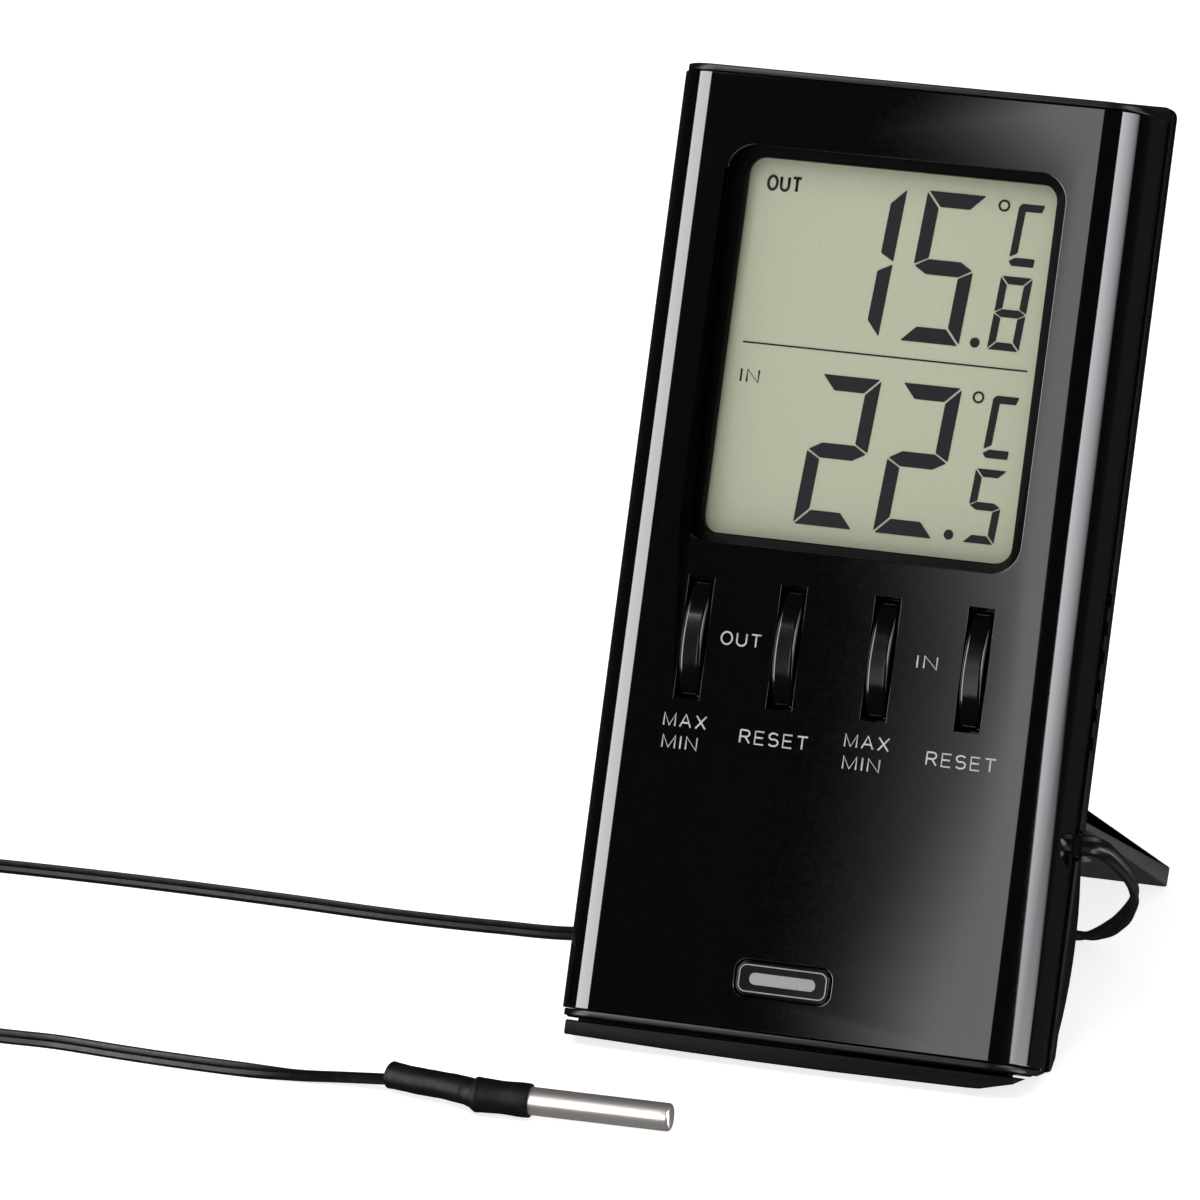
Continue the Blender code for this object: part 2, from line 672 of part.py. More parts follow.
def make_battery_door():
    outline = bulge_profile() + [(DOOR_INNER, BULGE_TOP), (DOOR_INNER, BULGE_LOW)]
    door = extruded("battery_door", outline, "x", -DOOR_HALF_WIDTH, DOOR_HALF_WIDTH)
    low = (-DOOR_HALF_WIDTH - 1 * MM, DOOR_INNER, CELL_Z - DOOR_HALF_HEIGHT)
    high = (DOOR_HALF_WIDTH + 1 * MM, 20 * MM, CELL_Z + DOOR_HALF_HEIGHT)
    keep_shared(door, box("door_block", low, high))
    for step in range(4):
        x = 14 * MM + step * 1.8 * MM
        low = (x, 17.5 * MM, CELL_Z - 4 * MM)
        cut(door, box("grip", low, (x + 0.8 * MM, 20 * MM, CELL_Z + 4 * MM)))
    return finish(door, material("door_black", (0.024, 0.024, 0.026), 0.48))


def make_stand():
    """The folding leg, modelled folded up about its pins and then swung open by its hinge empty."""
    half = STAND_HALF_WIDTH
    thick = STAND_THICKNESS / 2
    outline = rounded_rectangle(-half, half, -5 * MM, STAND_LENGTH, 0.8 * MM, 3)
    stand = extruded("stand", outline, "y", -thick, thick)
    cut(stand, box("heel_trim", (-half - 1 * MM, -5 * MM, -8 * MM), (half + 1 * MM, 5 * MM, 0.0)))
    join(stand, cylinder("heel", (-half, 0, 0), (half, 0, 0), thick, 16))
    for sign in (-1, 1):
        start = (sign * (half - 2 * MM), 0, 0)
        join(stand, cylinder("collar", start, (sign * half, 0, 0), thick + 0.05 * MM, 16))
        join(stand, cylinder("pin", start, (sign * PIN_END, 0, 0), PIN_RADIUS - 0.12 * MM, 16))
    panel = rounded_rectangle(-18 * MM, 18 * MM, 10 * MM, 52 * MM, 2 * MM, 4)
    cut(stand, extruded("panel", panel, "y", 0.35 * MM, 5 * MM))
    return finish(stand, material("stand_black", (0.030, 0.030, 0.032), 0.5))


def make_display():
    glass_front = WEB_REAR + GAP
    glass_low = (-GLASS_HALF_WIDTH, glass_front, GLASS_LOW)
    glass_high = (GLASS_HALF_WIDTH, glass_front + GLASS_THICKNESS, GLASS_TOP)
    glass = box("lcd_glass", glass_low, glass_high)
    finish(glass, material("lcd_clear", (0.8, 0.82, 0.78), 0.05), False)
    back = glass_front + GLASS_THICKNESS + GAP
    reflector_low = (-GLASS_HALF_WIDTH, back, GLASS_LOW + CONNECTOR_HEIGHT + GAP)
    reflector_high = (GLASS_HALF_WIDTH, back + REFLECTOR_THICKNESS, GLASS_TOP - CONNECTOR_HEIGHT - GAP)
    reflector = box("lcd_reflector", reflector_low, reflector_high)
    finish(reflector, material("lcd_grey_green", (0.47, 0.50, 0.36), 0.55), False)
    rubber = material("connector_rubber", (0.25, 0.28, 0.30), 0.7)
    edges = {
        "lcd_connector_lower": (GLASS_LOW, GLASS_LOW + CONNECTOR_HEIGHT),
        "lcd_connector_upper": (GLASS_TOP - CONNECTOR_HEIGHT, GLASS_TOP),
    }
    made = [glass, reflector]
    for name, (low, high) in edges.items():
        strip = box(name, (-20 * MM, back, low), (20 * MM, BOARD_FRONT - GAP, high))
        made.append(finish(strip, rubber, False))
    return made


def make_board():
    board_low = (-BOARD_HALF_WIDTH, BOARD_FRONT, BOARD_LOW)
    board = box("circuit_board", board_low, (BOARD_HALF_WIDTH, BOARD_REAR, BOARD_TOP))
    for x in (-BOARD_SCREW_X, BOARD_SCREW_X):
        cut(board, cylinder("hole", (x, 6 * MM, KEY_Z), (x, 10 * MM, KEY_Z), 1.0 * MM, 16))
    finish(board, material("board_green", (0.02, 0.16, 0.06), 0.4), False)
    rear = BOARD_REAR + GAP
    dome = arc((0.0, 0.0), 1.0, 90, 0, 6)
    blob = turned("chip_blob", [(5 * MM * r, 1.2 * MM * h) for r, h in dome] + [(0.0, 0.0)], 24)
    blob.data.transform(Matrix.Translation((0, rear, 82 * MM)) @ Matrix.Rotation(-math.pi / 2, 4, "X"))
    finish(blob, material("epoxy_black", (0.01, 0.01, 0.01), 0.3))
    bead = turned("indoor_thermistor", [(0.9 * MM * r, 0.9 * MM * h) for r, h in arc((0, 0), 1, 90, -90, 8)], 16)
    bead.data.transform(Matrix.Translation((20 * MM, rear + 0.95 * MM, 50 * MM)))
    finish(bead, material("bead_black", (0.012, 0.012, 0.012), 0.35))
    return [board, blob, bead]


def make_screw(name, x, z, seat, head_radius, head_height, shank_radius, shank_length, look):
    """A pan head screw from behind, its head's underside at depth seat, with a cross recess."""
    screw = cylinder(name, (x, seat, z), (x, seat + head_height, z), head_radius, 20)
    shank_end = (x, seat + 0.1 * MM, z)
    join(screw, cylinder("shank", (x, seat - shank_length, z), shank_end, shank_radius, 12))
    top = seat + head_height
    arm = head_radius * 0.6
    half = 0.2 * MM
    for wide, tall in ((arm, half), (half, arm)):
        low = (x - wide, top - 0.4 * MM, z - tall)
        cut(screw, box("recess", low, (x + wide, top + 1 * MM, z + tall)))
    return finish(screw, look)


def make_screws():
    steel = material("zinc_steel", (0.5, 0.5, 0.52), 0.35, 1.0)
    made = []
    for name, (x, z) in CASE_SCREWS.items():
        sizes = (SCREW_HEAD, 0.75 * MM, SCREW_SHANK, 6.5 * MM)
        made.append(make_screw(name, x, z, 14.8 * MM, *sizes, steel))
    places = {"board_screw_left": -BOARD_SCREW_X, "board_screw_right": BOARD_SCREW_X}
    for name, x in places.items():
        sizes = (1.6 * MM, 0.8 * MM, 0.7 * MM, 3.6 * MM)
        made.append(make_screw(name, x, KEY_Z, BOARD_REAR + GAP, *sizes, steel))
    return made


def make_keys():
    look = material("key_black", (0.012, 0.012, 0.013), 0.3)
    switch_look = material("switch_grey", (0.08, 0.08, 0.09), 0.5)
    made = []
    centre_y = KEY_ARC_RADIUS - KEY_RISE
    reach = math.degrees(math.asin(KEY_HALF_HEIGHT / KEY_ARC_RADIUS))
    flange_front = WEB_REAR + GAP
    for name, x in KEY_PLACES.items():
        front = arc((centre_y, KEY_Z), KEY_ARC_RADIUS, 180 + reach, 180 - reach, 12)
        outline = front + [
            (flange_front + 0.3 * MM, KEY_Z + KEY_HALF_HEIGHT),
            (flange_front + 0.3 * MM, KEY_Z - KEY_HALF_HEIGHT),
        ]
        key = extruded(name, outline, "x", x - KEY_HALF_WIDTH, x + KEY_HALF_WIDTH)
        low = (x - KEY_FLANGE_HALF_WIDTH, flange_front, KEY_Z - KEY_FLANGE_HALF_HEIGHT)
        flange_rear = flange_front + KEY_FLANGE_THICKNESS
        high = (x + KEY_FLANGE_HALF_WIDTH, flange_rear, KEY_Z + KEY_FLANGE_HALF_HEIGHT)
        join(key, box("flange", low, high))
        made.append(finish(key, look))
        switch_name = name.replace("_key", "_switch")
        plunger_front = flange_rear + KEY_TRAVEL + 0.1 * MM
        body_front = plunger_front + 0.5 * MM
        body_low = (x - 1.9 * MM, body_front, KEY_Z - 3 * MM)
        switch = box(switch_name, body_low, (x + 1.9 * MM, BOARD_FRONT - GAP, KEY_Z + 3 * MM))
        plunger = ((x, plunger_front, KEY_Z), (x, body_front + 0.5 * MM, KEY_Z))
        join(switch, cylinder("plunger", *plunger, 0.9 * MM, 16))
        made.append(finish(switch, switch_look))
    return made


def make_battery():
    body_end = CELL_LEFT + CELL_LENGTH - 0.8 * MM
    start = (CELL_LEFT, CELL_Y, CELL_Z)
    cell = cylinder("aaa_battery", start, (body_end, CELL_Y, CELL_Z), CELL_RADIUS, 32)
    nub_start = (body_end - 0.5 * MM, CELL_Y, CELL_Z)
    cell_end = CELL_LEFT + CELL_LENGTH
    join(cell, cylinder("nub", nub_start, (cell_end, CELL_Y, CELL_Z), 1.9 * MM, 20))
    finish(cell, material("cell_jacket", (0.10, 0.12, 0.16), 0.3, 0.5))
    nickel = material("nickel", (0.62, 0.60, 0.56), 0.28, 1.0)
    turns = 4
    steps = turns * 12
    coil = []
    for step in range(steps + 1):
        share = step / steps
        angle = 2 * math.pi * turns * share
        radius = (3.6 - 1.8 * share) * MM
        x = -BAY_HALF_WIDTH + 0.6 * MM + 4.0 * MM * share
        coil.append((x, CELL_Y + radius * math.cos(angle), CELL_Z + radius * math.sin(angle)))
    spring = tube("battery_spring", coil, 0.25 * MM, 2 * MM)
    finish(spring, nickel)
    plate_x = cell_end + GAP
    plate_low = (plate_x, CELL_Y - 4 * MM, CELL_Z - 4 * MM)
    plate = box("battery_plate", plate_low, (plate_x + 0.5 * MM, CELL_Y + 4 * MM, CELL_Z + 4 * MM))
    finish(plate, nickel, False)
    return [cell, spring, plate]


def make_wires():
    routes = {
        "battery_wire_black": ((0.012, 0.012, 0.012), [(-24, 11.5, 24.2), (-24, 11, 28), (-23, 9.8, 31), (-20, 9.5, 35)]),
        "battery_wire_red": ((0.35, 0.015, 0.012), [(10, 11.5, 24.2), (10, 11, 28), (10, 9.7, 31.5), (10, 9.5, 35)]),
        "sensor_wire_upper": ((0.30, 0.30, 0.30), [(24.0, 10.2, 30.9), (22.6, 9.7, 33), (20.6, 9.5, 36.5)]),
        "sensor_wire_lower": ((0.02, 0.02, 0.02), [(23.0, 10.3, 29.9), (19.0, 9.8, 32.2), (17.0, 9.5, 35)]),
    }
    made = []
    for name, (colour, route) in routes.items():
        points = [Vector(point) * MM for point in route]
        wire = tube(name, points, 0.4 * MM, 1.2 * MM)
        made.append(finish(wire, material(name, colour, 0.5)))
    inner = [(30.4, 13.6, 29), (28.6, 13.6, 29), (27.2, 13.4, 29), (25.8, 12.1, 29.4), (24.4, 10.5, 29.9)]
    lead = tube("sensor_lead_inner", [Vector(point) * MM for point in inner], LEAD_WIDTH / 2, 2 * MM)
    made.append(finish(lead, material("inner_lead_black", (0.015, 0.015, 0.016), 0.45)))
    bush_line = ((28.7 * MM, LEAD_Y, LEAD_Z), (30.4 * MM, LEAD_Y, LEAD_Z))
    bush = cylinder("lead_bush", *bush_line, BUSH_RADIUS, 24)
    bore = ((28 * MM, LEAD_Y, LEAD_Z), (31 * MM, LEAD_Y, LEAD_Z))
    cut(bush, cylinder("bore", *bore, LEAD_WIDTH / 2 + 0.15 * MM, 24))
    made.append(finish(bush, material("bush_rubber", (0.014, 0.014, 0.014), 0.6)))
    return made


def make_tie():
    """A band round the coil's section."""
    clear = GAP
    wide = GAP + TIE_THICKNESS
    centre = COIL_CENTRE
    blocks = []
    for name, margin, half in (("lead_tie", wide, TIE_WIDTH / 2), ("tie_hole", clear, TIE_WIDTH)):
        low = (centre.x - half, centre.y + COIL_INNER - margin, centre.z - margin)
        high = (centre.x + half, centre.y + COIL_OUTER + margin, centre.z + COIL_HEIGHT + margin)
        blocks.append(box(name, low, high))
    tie = cut(*blocks)
    return finish(tie, material("tie_black", (0.010, 0.010, 0.010), 0.35), False)


def make_free_lead():
    """The lead outside the case with its coil, the heat-shrink sleeves and the steel probe."""
    rubber = material("lead_black", (0.012, 0.012, 0.013), 0.4)
    run = tube("sensor_lead_run", LEAD_RUN, LEAD_WIDTH / 2, 5.4 * MM)
    probe_run = tube("sensor_lead_probe_run", PROBE_RUN, LEAD_WIDTH / 2, 5.4 * MM)
    ring = [
        (COIL_INNER + 0.1 * MM, COIL_HEIGHT),
        (COIL_OUTER - 1 * MM, COIL_HEIGHT),
        (COIL_OUTER, COIL_HEIGHT - 1 * MM),
        (COIL_OUTER, 1 * MM),
        (COIL_OUTER - 1 * MM, 0.0),
        (COIL_INNER + 1 * MM, 0.0),
        (COIL_INNER, 1 * MM),
        (COIL_INNER, COIL_HEIGHT - 1 * MM),
        (COIL_INNER + 0.1 * MM, COIL_HEIGHT),
    ]
    coil = turned("sensor_lead_coil", ring, 40)
    coil.data.transform(Matrix.Translation(COIL_CENTRE))
    sleeve = tube("heat_shrink_rear", SLEEVE_REAR, SLIM_SLEEVE_RADIUS, 2.5 * MM)
    for item in (run, probe_run, coil, sleeve):
        finish(item, rubber)
    along = (PROBE_TIP - PROBE_START).normalized()
    turn = along.to_track_quat("Z", "Y").to_matrix().to_4x4()
    length = (PROBE_TIP - PROBE_START).length
    radius = PROBE_RADIUS
    bore = radius - 0.3 * MM
    nose = [(0.0, length)] + arc((radius - PROBE_EDGE, length - PROBE_EDGE), PROBE_EDGE, 90, 0, 4)
    profile = nose + [(radius, 0.0), (bore, 0.0), (bore, length - PROBE_EDGE), (0.0, length - PROBE_EDGE)]
    probe = turned("probe_tube", profile, 24)
    probe.data.transform(Matrix.Translation(PROBE_START) @ turn)
    finish(probe, material("stainless_steel", (0.62, 0.61, 0.59), 0.22, 1.0))
    bead_profile = [(0.9 * MM * r, 1.4 * MM * h) for r, h in arc((0, 0), 1, 90, -90, 8)]
    bead = turned("probe_thermistor", bead_profile, 16)
    bead.data.transform(Matrix.Translation(PROBE_START + along * (length - 4 * MM)))
    finish(bead, material("probe_bead", (0.05, 0.03, 0.02), 0.4))
    sleeve_length = 7.4 * MM
    inner = radius + SLEEVE_GAP
    wall = [
        (inner, sleeve_length),
        (SLEEVE_RADIUS, sleeve_length),
        (SLEEVE_RADIUS, 0.0),
        (inner, 0.0),
        (inner, sleeve_length),
    ]
    front = turned("heat_shrink_front", wall, 24)
    front.data.transform(Matrix.Translation(SLEEVE_FRONT_START) @ turn)
    finish(front, rubber)
    make_tie()


def open_angle():
    """How far the stand swings from folded until its end meets the table."""
    height = (HINGE_Z * math.cos(LEAN) - HINGE_Y * math.sin(LEAN)) + table_offset()
    half = STAND_THICKNESS / 2
    reach = math.hypot(STAND_LENGTH, half)
    slope = math.asin(height / reach) - math.atan2(half, STAND_LENGTH)
    return math.pi / 2 + slope - LEAN


def table_offset():
    """How high the case frame's origin stands over the table."""
    return BASE_START_Y * math.sin(LEAN) - BASE_START_Z * math.cos(LEAN)


def middle_depth(stand_angle):
    """Half way between the lowest front edge and the far end of the stand, along y."""
    front = RIM_INSET * math.cos(LEAN)
    slope = stand_angle - math.pi / 2 + LEAN
    hinge = HINGE_Y * math.cos(LEAN) + HINGE_Z * math.sin(LEAN)
    rear = hinge + STAND_LENGTH * math.cos(slope) + STAND_THICKNESS / 2 * math.sin(slope)
    return (front + rear) / 2


def place(case_parts, stand):
    """Lean the case back on an empty, and hang the stand on an empty at its hinge."""
    angle = open_angle()
    case_frame = bpy.data.objects.new("case_frame", None)
    case_frame.location = (0.0, -middle_depth(angle), table_offset())
    case_frame.rotation_euler = (-LEAN, 0.0, 0.0)
    hinge = bpy.data.objects.new("stand_hinge", None)
    hinge.parent = case_frame
    hinge.location = (0.0, HINGE_Y, HINGE_Z)
    hinge.rotation_euler = (-angle, 0.0, 0.0)
    for empty in (case_frame, hinge):
        PARTS.objects.link(empty)
    for item in case_parts:
        item.parent = case_frame
    stand.parent = hinge


clear_scene()
PARTS = make_collection()
CASE_PARTS = [make_fascia(), make_badge(), make_housing(), make_rear_cover(), make_battery_door()]
CASE_PARTS += make_display() + make_board() + make_screws() + make_keys() + make_battery() + make_wires()
make_free_lead()
place(CASE_PARTS, make_stand())
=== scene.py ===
"""Looks of a maximum minimum thermometer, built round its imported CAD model.

The case leans back on its leg, so its pieces are made upright in the case's own frame (x to the right,
y backwards from the front face, z upwards from the lower rim) and then leaned by one matrix.
"""

import json
import math

import bmesh
import bpy
from mathutils import Matrix, Vector


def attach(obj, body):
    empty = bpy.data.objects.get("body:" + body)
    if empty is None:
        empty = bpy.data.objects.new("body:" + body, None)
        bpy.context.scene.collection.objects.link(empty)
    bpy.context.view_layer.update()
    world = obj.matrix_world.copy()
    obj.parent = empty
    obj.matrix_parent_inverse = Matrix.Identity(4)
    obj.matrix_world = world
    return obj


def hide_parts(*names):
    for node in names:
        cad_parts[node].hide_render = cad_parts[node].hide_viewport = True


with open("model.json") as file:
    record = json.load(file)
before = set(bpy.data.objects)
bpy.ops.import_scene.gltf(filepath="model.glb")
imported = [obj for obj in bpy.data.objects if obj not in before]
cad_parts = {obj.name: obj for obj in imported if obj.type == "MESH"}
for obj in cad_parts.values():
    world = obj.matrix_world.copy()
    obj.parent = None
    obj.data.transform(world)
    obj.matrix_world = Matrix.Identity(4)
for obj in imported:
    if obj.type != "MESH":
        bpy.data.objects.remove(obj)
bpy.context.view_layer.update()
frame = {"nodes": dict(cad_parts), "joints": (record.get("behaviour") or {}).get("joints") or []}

MM = 0.001
NODES = frame["nodes"]
HINGE = next(joint for joint in frame["joints"] if joint["name"] == "stand_hinge")
DOOR_SLIDE = next(joint for joint in frame["joints"] if joint["name"] == "battery_door_slide")

# The case's frame, read from the leg's hinge and from the way the battery door slides
LEAN = math.atan2(-DOOR_SLIDE["axis"][2], DOOR_SLIDE["axis"][1])
HINGE_Y = 13.85 * MM
HINGE_Z = 35.7 * MM
LEAN_TURN = Matrix.Rotation(-LEAN, 4, "X")
CASE_ORIGIN = Vector(HINGE["pos_m"]) - LEAN_TURN @ Vector((0.0, HINGE_Y, HINGE_Z))
CASE = Matrix.Translation(CASE_ORIGIN) @ LEAN_TURN

# Sizes of the case, as in its CAD model, except that the fascia ends 0.25 mm nearer to each rim
CASE_WIDTH = 61.0 * MM
CASE_HEIGHT = 120.0 * MM
ROLL_RADIUS = 5.0 * MM
FASCIA_DEPTH = 10.2 * MM
FASCIA_WALL = 1.8 * MM
FASCIA_LOW = 0.95 * MM
FASCIA_TOP = CASE_HEIGHT - FASCIA_LOW
WINDOW = (-22.0 * MM, 22.15 * MM, 60.6 * MM, 110.35 * MM)
WINDOW_CORNER = 3.6 * MM
LCD_FRONT = 3.9 * MM
KEY_X = (-18.3 * MM, -6.15 * MM, 6.15 * MM, 18.3 * MM)
KEY_BODIES = ("out_max_min_key", "out_reset_key", "in_max_min_key", "in_reset_key")
KEY_Z = 48.45 * MM
SLOT_HALF_WIDTH = 1.7 * MM
SLOT_HALF_HEIGHT = 7.75 * MM
BADGE_X = -1.0 * MM
BADGE_Z = 7.4 * MM
EDGE_ROUNDING = 0.3 * MM
SLOT_EDGE_SHARE = 0.12
FRONT_EDGE_SHARE = 0.5

# Flat twin lead, sleeves and probe. The sleeves' radii are about 0.1 mm less than in the CAD model
LEAD_WIDTH = 2.2 * MM
STRAND_RADIUS = 0.55 * MM
LEAD_LENGTH = 3.0
COIL_CENTRE = Vector((-141.0, -39.0, 0.0)) * MM
COIL_COLUMN = 2.35 * MM
COIL_FIRST_RADIUS = 16.5 * MM
COIL_COLUMNS = 4
COIL_LAYER = 1.2 * MM
COIL_FLOOR = 1.4 * MM
PROBE_RADIUS = 1.75 * MM
SLIM_SLEEVE_RADIUS = 1.76 * MM
WIDE_SLEEVE_RADIUS = 2.1 * MM
WIDE_SLEEVE_LENGTH = 7.4 * MM
PROBE_EDGE = 0.5 * MM
PROBE_HIDDEN = 3.0 * MM
RUN_TILT = 0.24
TAIL_TILT = 0.31
LEAD_RUN = [
    (0.0308, -0.0183, 0.0264),
    (0.0320, -0.0181, 0.0264),
    (0.0332, -0.0163, 0.0252),
    (0.0338, -0.0116, 0.0218),
    (0.0335, -0.0059, 0.0177),
    (0.0318, 0.0011, 0.0127),
    (0.0281, 0.0081, 0.0075),
    (0.0235, 0.0136, 0.0034),
    (0.0192, 0.0170, 0.0014),
    (0.0120, 0.0192, 0.0012),
    (0.0010, 0.0180, 0.0012),
    (-0.0120, 0.0120, 0.0012),
    (-0.0250, 0.0040, 0.0012),
    (-0.0400, -0.0036, 0.0012),
    (-0.0518, -0.0052, 0.0012),
    (-0.0657, -0.0058, 0.0012),
    (-0.0797, -0.0054, 0.0012),
    (-0.0934, -0.0052, 0.0012),
    (-0.1071, -0.0054, 0.0012),
    (-0.1209, -0.0060, 0.0012),
    (-0.1370, -0.0072, 0.0012),
    (-0.1530, -0.0120, 0.0012),
    (-0.1640, -0.0220, 0.0012),
    (-0.1680, -0.0340, 0.0012),
]
PROBE_RUN = [
    (-0.1420, -0.0657, 0.0052),
    (-0.1280, -0.0656, 0.0028),
    (-0.1120, -0.0644, 0.0014),
    (-0.0958, -0.0635, 0.0012),
    (-0.0883, -0.0631, 0.0012),
    (-0.0801, -0.0636, 0.0012),
    (-0.0724, -0.0639, 0.0012),
    (-0.0637, -0.0639, 0.0012),
    (-0.0561, -0.0634, 0.0012),
    (-0.0505, -0.0626, 0.0014),
    (-0.0440, -0.0624, 0.0019),
]
SLEEVE_REAR = [
    (-0.0437, -0.0625, 0.0020),
    (-0.0400, -0.0635, 0.0021),
    (-0.0360, -0.0642, 0.0022),
    (-0.0325, -0.0654, 0.0024),
]
SLEEVE_FRONT_START = Vector((-0.0317, -0.06624, 0.00246))
PROBE_START = Vector((-0.0290, -0.0660, 0.0024))
PROBE_TIP = Vector((-0.0066, -0.0640, 0.0019))


# ---------------------------------------------------------------- camera, floor and lights

CAMERA_AZIMUTH = 20.236
CAMERA_ELEVATION = 18.269
CAMERA_DISTANCE = 1.2336
CAMERA_LENS = 300.0
TARGET_LEFT = 22.514 * MM
TARGET_UP = 54.627 * MM
STUDIO_RADIUS = 3.0
FLOOR_SHADE = 0.93
FLOOR_GLOW = 0.80
DOME_STRENGTH = 0.25
WORLD_STRENGTH = 0.035
KEY_POWER = 13.5
KEY_SIZE = 1.2
KEY_DISTANCE = 1.8
CASE_MIDDLE = Vector((0.0, 0.0, 0.06))

# Panels that only gloss reflects: rows of (elevation, left azimuth, right azimuth) in degrees
STRIP_GLOW = 13.0
LEFT_PANEL = [(-12.0, -66.0, -28.0), (45.0, -66.0, -28.0)]
FRONT_PANEL = [
    (-4.0, -19.2, 9.0),
    (20.0, -19.2, 6.0),
    (23.0, -19.4, 0.0),
    (25.0, -20.2, -8.0),
    (27.0, -20.4, -13.5),
    (48.0, -20.2, -14.0),
]
RIGHT_PANEL = [
    (-35.0, 95.0, 150.0),
    (-18.0, 86.0, 130.0),
    (-3.0, 77.0, 101.0),
    (5.0, 67.0, 96.0),
    (15.0, 50.0, 96.0),
    (20.0, 43.0, 96.0),
    (35.0, 46.0, 96.0),
]


def link(item):
    bpy.context.scene.collection.objects.link(item)
    return item


def direction(azimuth, elevation):
    """A direction from the object: azimuth 0 is the front (-Y), and it grows towards +X."""
    a = math.radians(azimuth)
    e = math.radians(elevation)
    return Vector((math.sin(a) * math.cos(e), -math.cos(a) * math.cos(e), math.sin(e)))


def make_camera():
    """A long lens from the right, above the case, with the probe at the lower left."""
    back = direction(CAMERA_AZIMUTH, CAMERA_ELEVATION)
    a = math.radians(CAMERA_AZIMUTH)
    right = Vector((math.cos(a), math.sin(a), 0.0))
    up = back.cross(right)
    target = CASE_ORIGIN - TARGET_LEFT * right + TARGET_UP * up
    data = bpy.data.cameras.new("camera")
    data.lens = CAMERA_LENS
    data.sensor_width = 36.0
    data.clip_start = 0.05
    camera = link(bpy.data.objects.new("camera", data))
    turn = Matrix((right, up, back)).transposed().to_4x4()
    camera.matrix_world = Matrix.Translation(target + CAMERA_DISTANCE * back) @ turn
    bpy.context.scene.camera = camera


def stage_material(name, shade, glow):
    """A plain pale surface that also glows a little, so that shadows on it stay soft."""
    look = bpy.data.materials.new(name)
    look.use_nodes = True
    shader = look.node_tree.nodes["Principled BSDF"]
    shader.inputs["Base Color"].default_value = (shade, shade, shade, 1.0)
    shader.inputs["Roughness"].default_value = 0.9
    shader.inputs["Specular IOR Level"].default_value = 0.1
    shader.inputs["Emission Color"].default_value = (1.0, 1.0, 1.0, 1.0)
    shader.inputs["Emission Strength"].default_value = glow
    return look


def make_floor():
    """A round pale floor that doesn't show in the glossy case."""
    shape = bmesh.new()
    bmesh.ops.create_circle(shape, cap_ends=True, segments=96, radius=STUDIO_RADIUS)
    mesh = bpy.data.meshes.new("floor")
    shape.to_mesh(mesh)
    shape.free()
    floor = link(bpy.data.objects.new("floor", mesh))
    mesh.materials.append(stage_material("floor_white", FLOOR_SHADE, FLOOR_GLOW))
    floor.visible_glossy = False


def make_dome():
    """A white light tent over the floor, which lights the object evenly but doesn't show in its gloss."""
    shape = bmesh.new()
    bmesh.ops.create_uvsphere(shape, u_segments=64, v_segments=32, radius=STUDIO_RADIUS)
    below = [vertex for vertex in shape.verts if vertex.co.z < -0.01]
    bmesh.ops.delete(shape, geom=below, context="VERTS")
    mesh = bpy.data.meshes.new("light_tent")
    shape.to_mesh(mesh)
    shape.free()
    dome = link(bpy.data.objects.new("light_tent", mesh))
    mesh.materials.append(glow_material("tent_white", (1.0, 1.0, 1.0), DOME_STRENGTH)[0])
    dome.visible_glossy = False


def glow_material(name, colour, strength):
    """A material that only glows: (material, node tree, emission shader)."""
    look = bpy.data.materials.new(name)
    look.use_nodes = True
    tree = look.node_tree
    tree.nodes.clear()
    output = tree.nodes.new("ShaderNodeOutputMaterial")
    glow = tree.nodes.new("ShaderNodeEmission")
    glow.inputs["Color"].default_value = (*colour, 1.0)
    glow.inputs["Strength"].default_value = strength
    tree.links.new(glow.outputs[0], output.inputs["Surface"])
    return look, tree, glow


def panel(name, rows, distance, colour, strength, fade=0.0, power=1.0):
    """A glowing panel, which only shows in gloss, from rows of (elevation, left azimuth, right azimuth).

    It fades in over some degrees from its left edge, by a power of the distance from that edge. A
    negative fade is the same at its right edge.
    """
    columns = 24
    shape = bmesh.new()
    inset = shape.verts.layers.float.new("inset")
    grid = []
    for elevation, left, right in rows:
        line = []
        for column in range(columns + 1):
            azimuth = left + (right - left) * column / columns
            vertex = shape.verts.new(CASE_MIDDLE + distance * direction(azimuth, elevation))
            vertex[inset] = azimuth - left if fade > 0 else right - azimuth
            line.append(vertex)
        grid.append(line)
    for low, high in zip(grid, grid[1:]):
        for column in range(columns):
            shape.faces.new((low[column], low[column + 1], high[column + 1], high[column]))
    item = object_from_bmesh(name, shape)
    look, tree, glow = glow_material(name, colour, strength)
    if fade:
        place = tree.nodes.new("ShaderNodeAttribute")
        place.attribute_name = "inset"
        edge = tree.nodes.new("ShaderNodeMapRange")
        edge.inputs["From Max"].default_value = abs(fade)
        raised = tree.nodes.new("ShaderNodeMath")
        raised.operation = "POWER"
        raised.inputs[1].default_value = power
        times = tree.nodes.new("ShaderNodeMath")
        times.operation = "MULTIPLY"
        times.inputs[1].default_value = strength
        tree.links.new(place.outputs["Fac"], edge.inputs["Value"])
        tree.links.new(edge.outputs["Result"], raised.inputs[0])
        tree.links.new(raised.outputs[0], times.inputs[0])
        tree.links.new(times.outputs[0], glow.inputs["Strength"])
    item.data.materials.append(look)
    item.visible_camera = False
    item.visible_diffuse = False
    item.visible_shadow = False


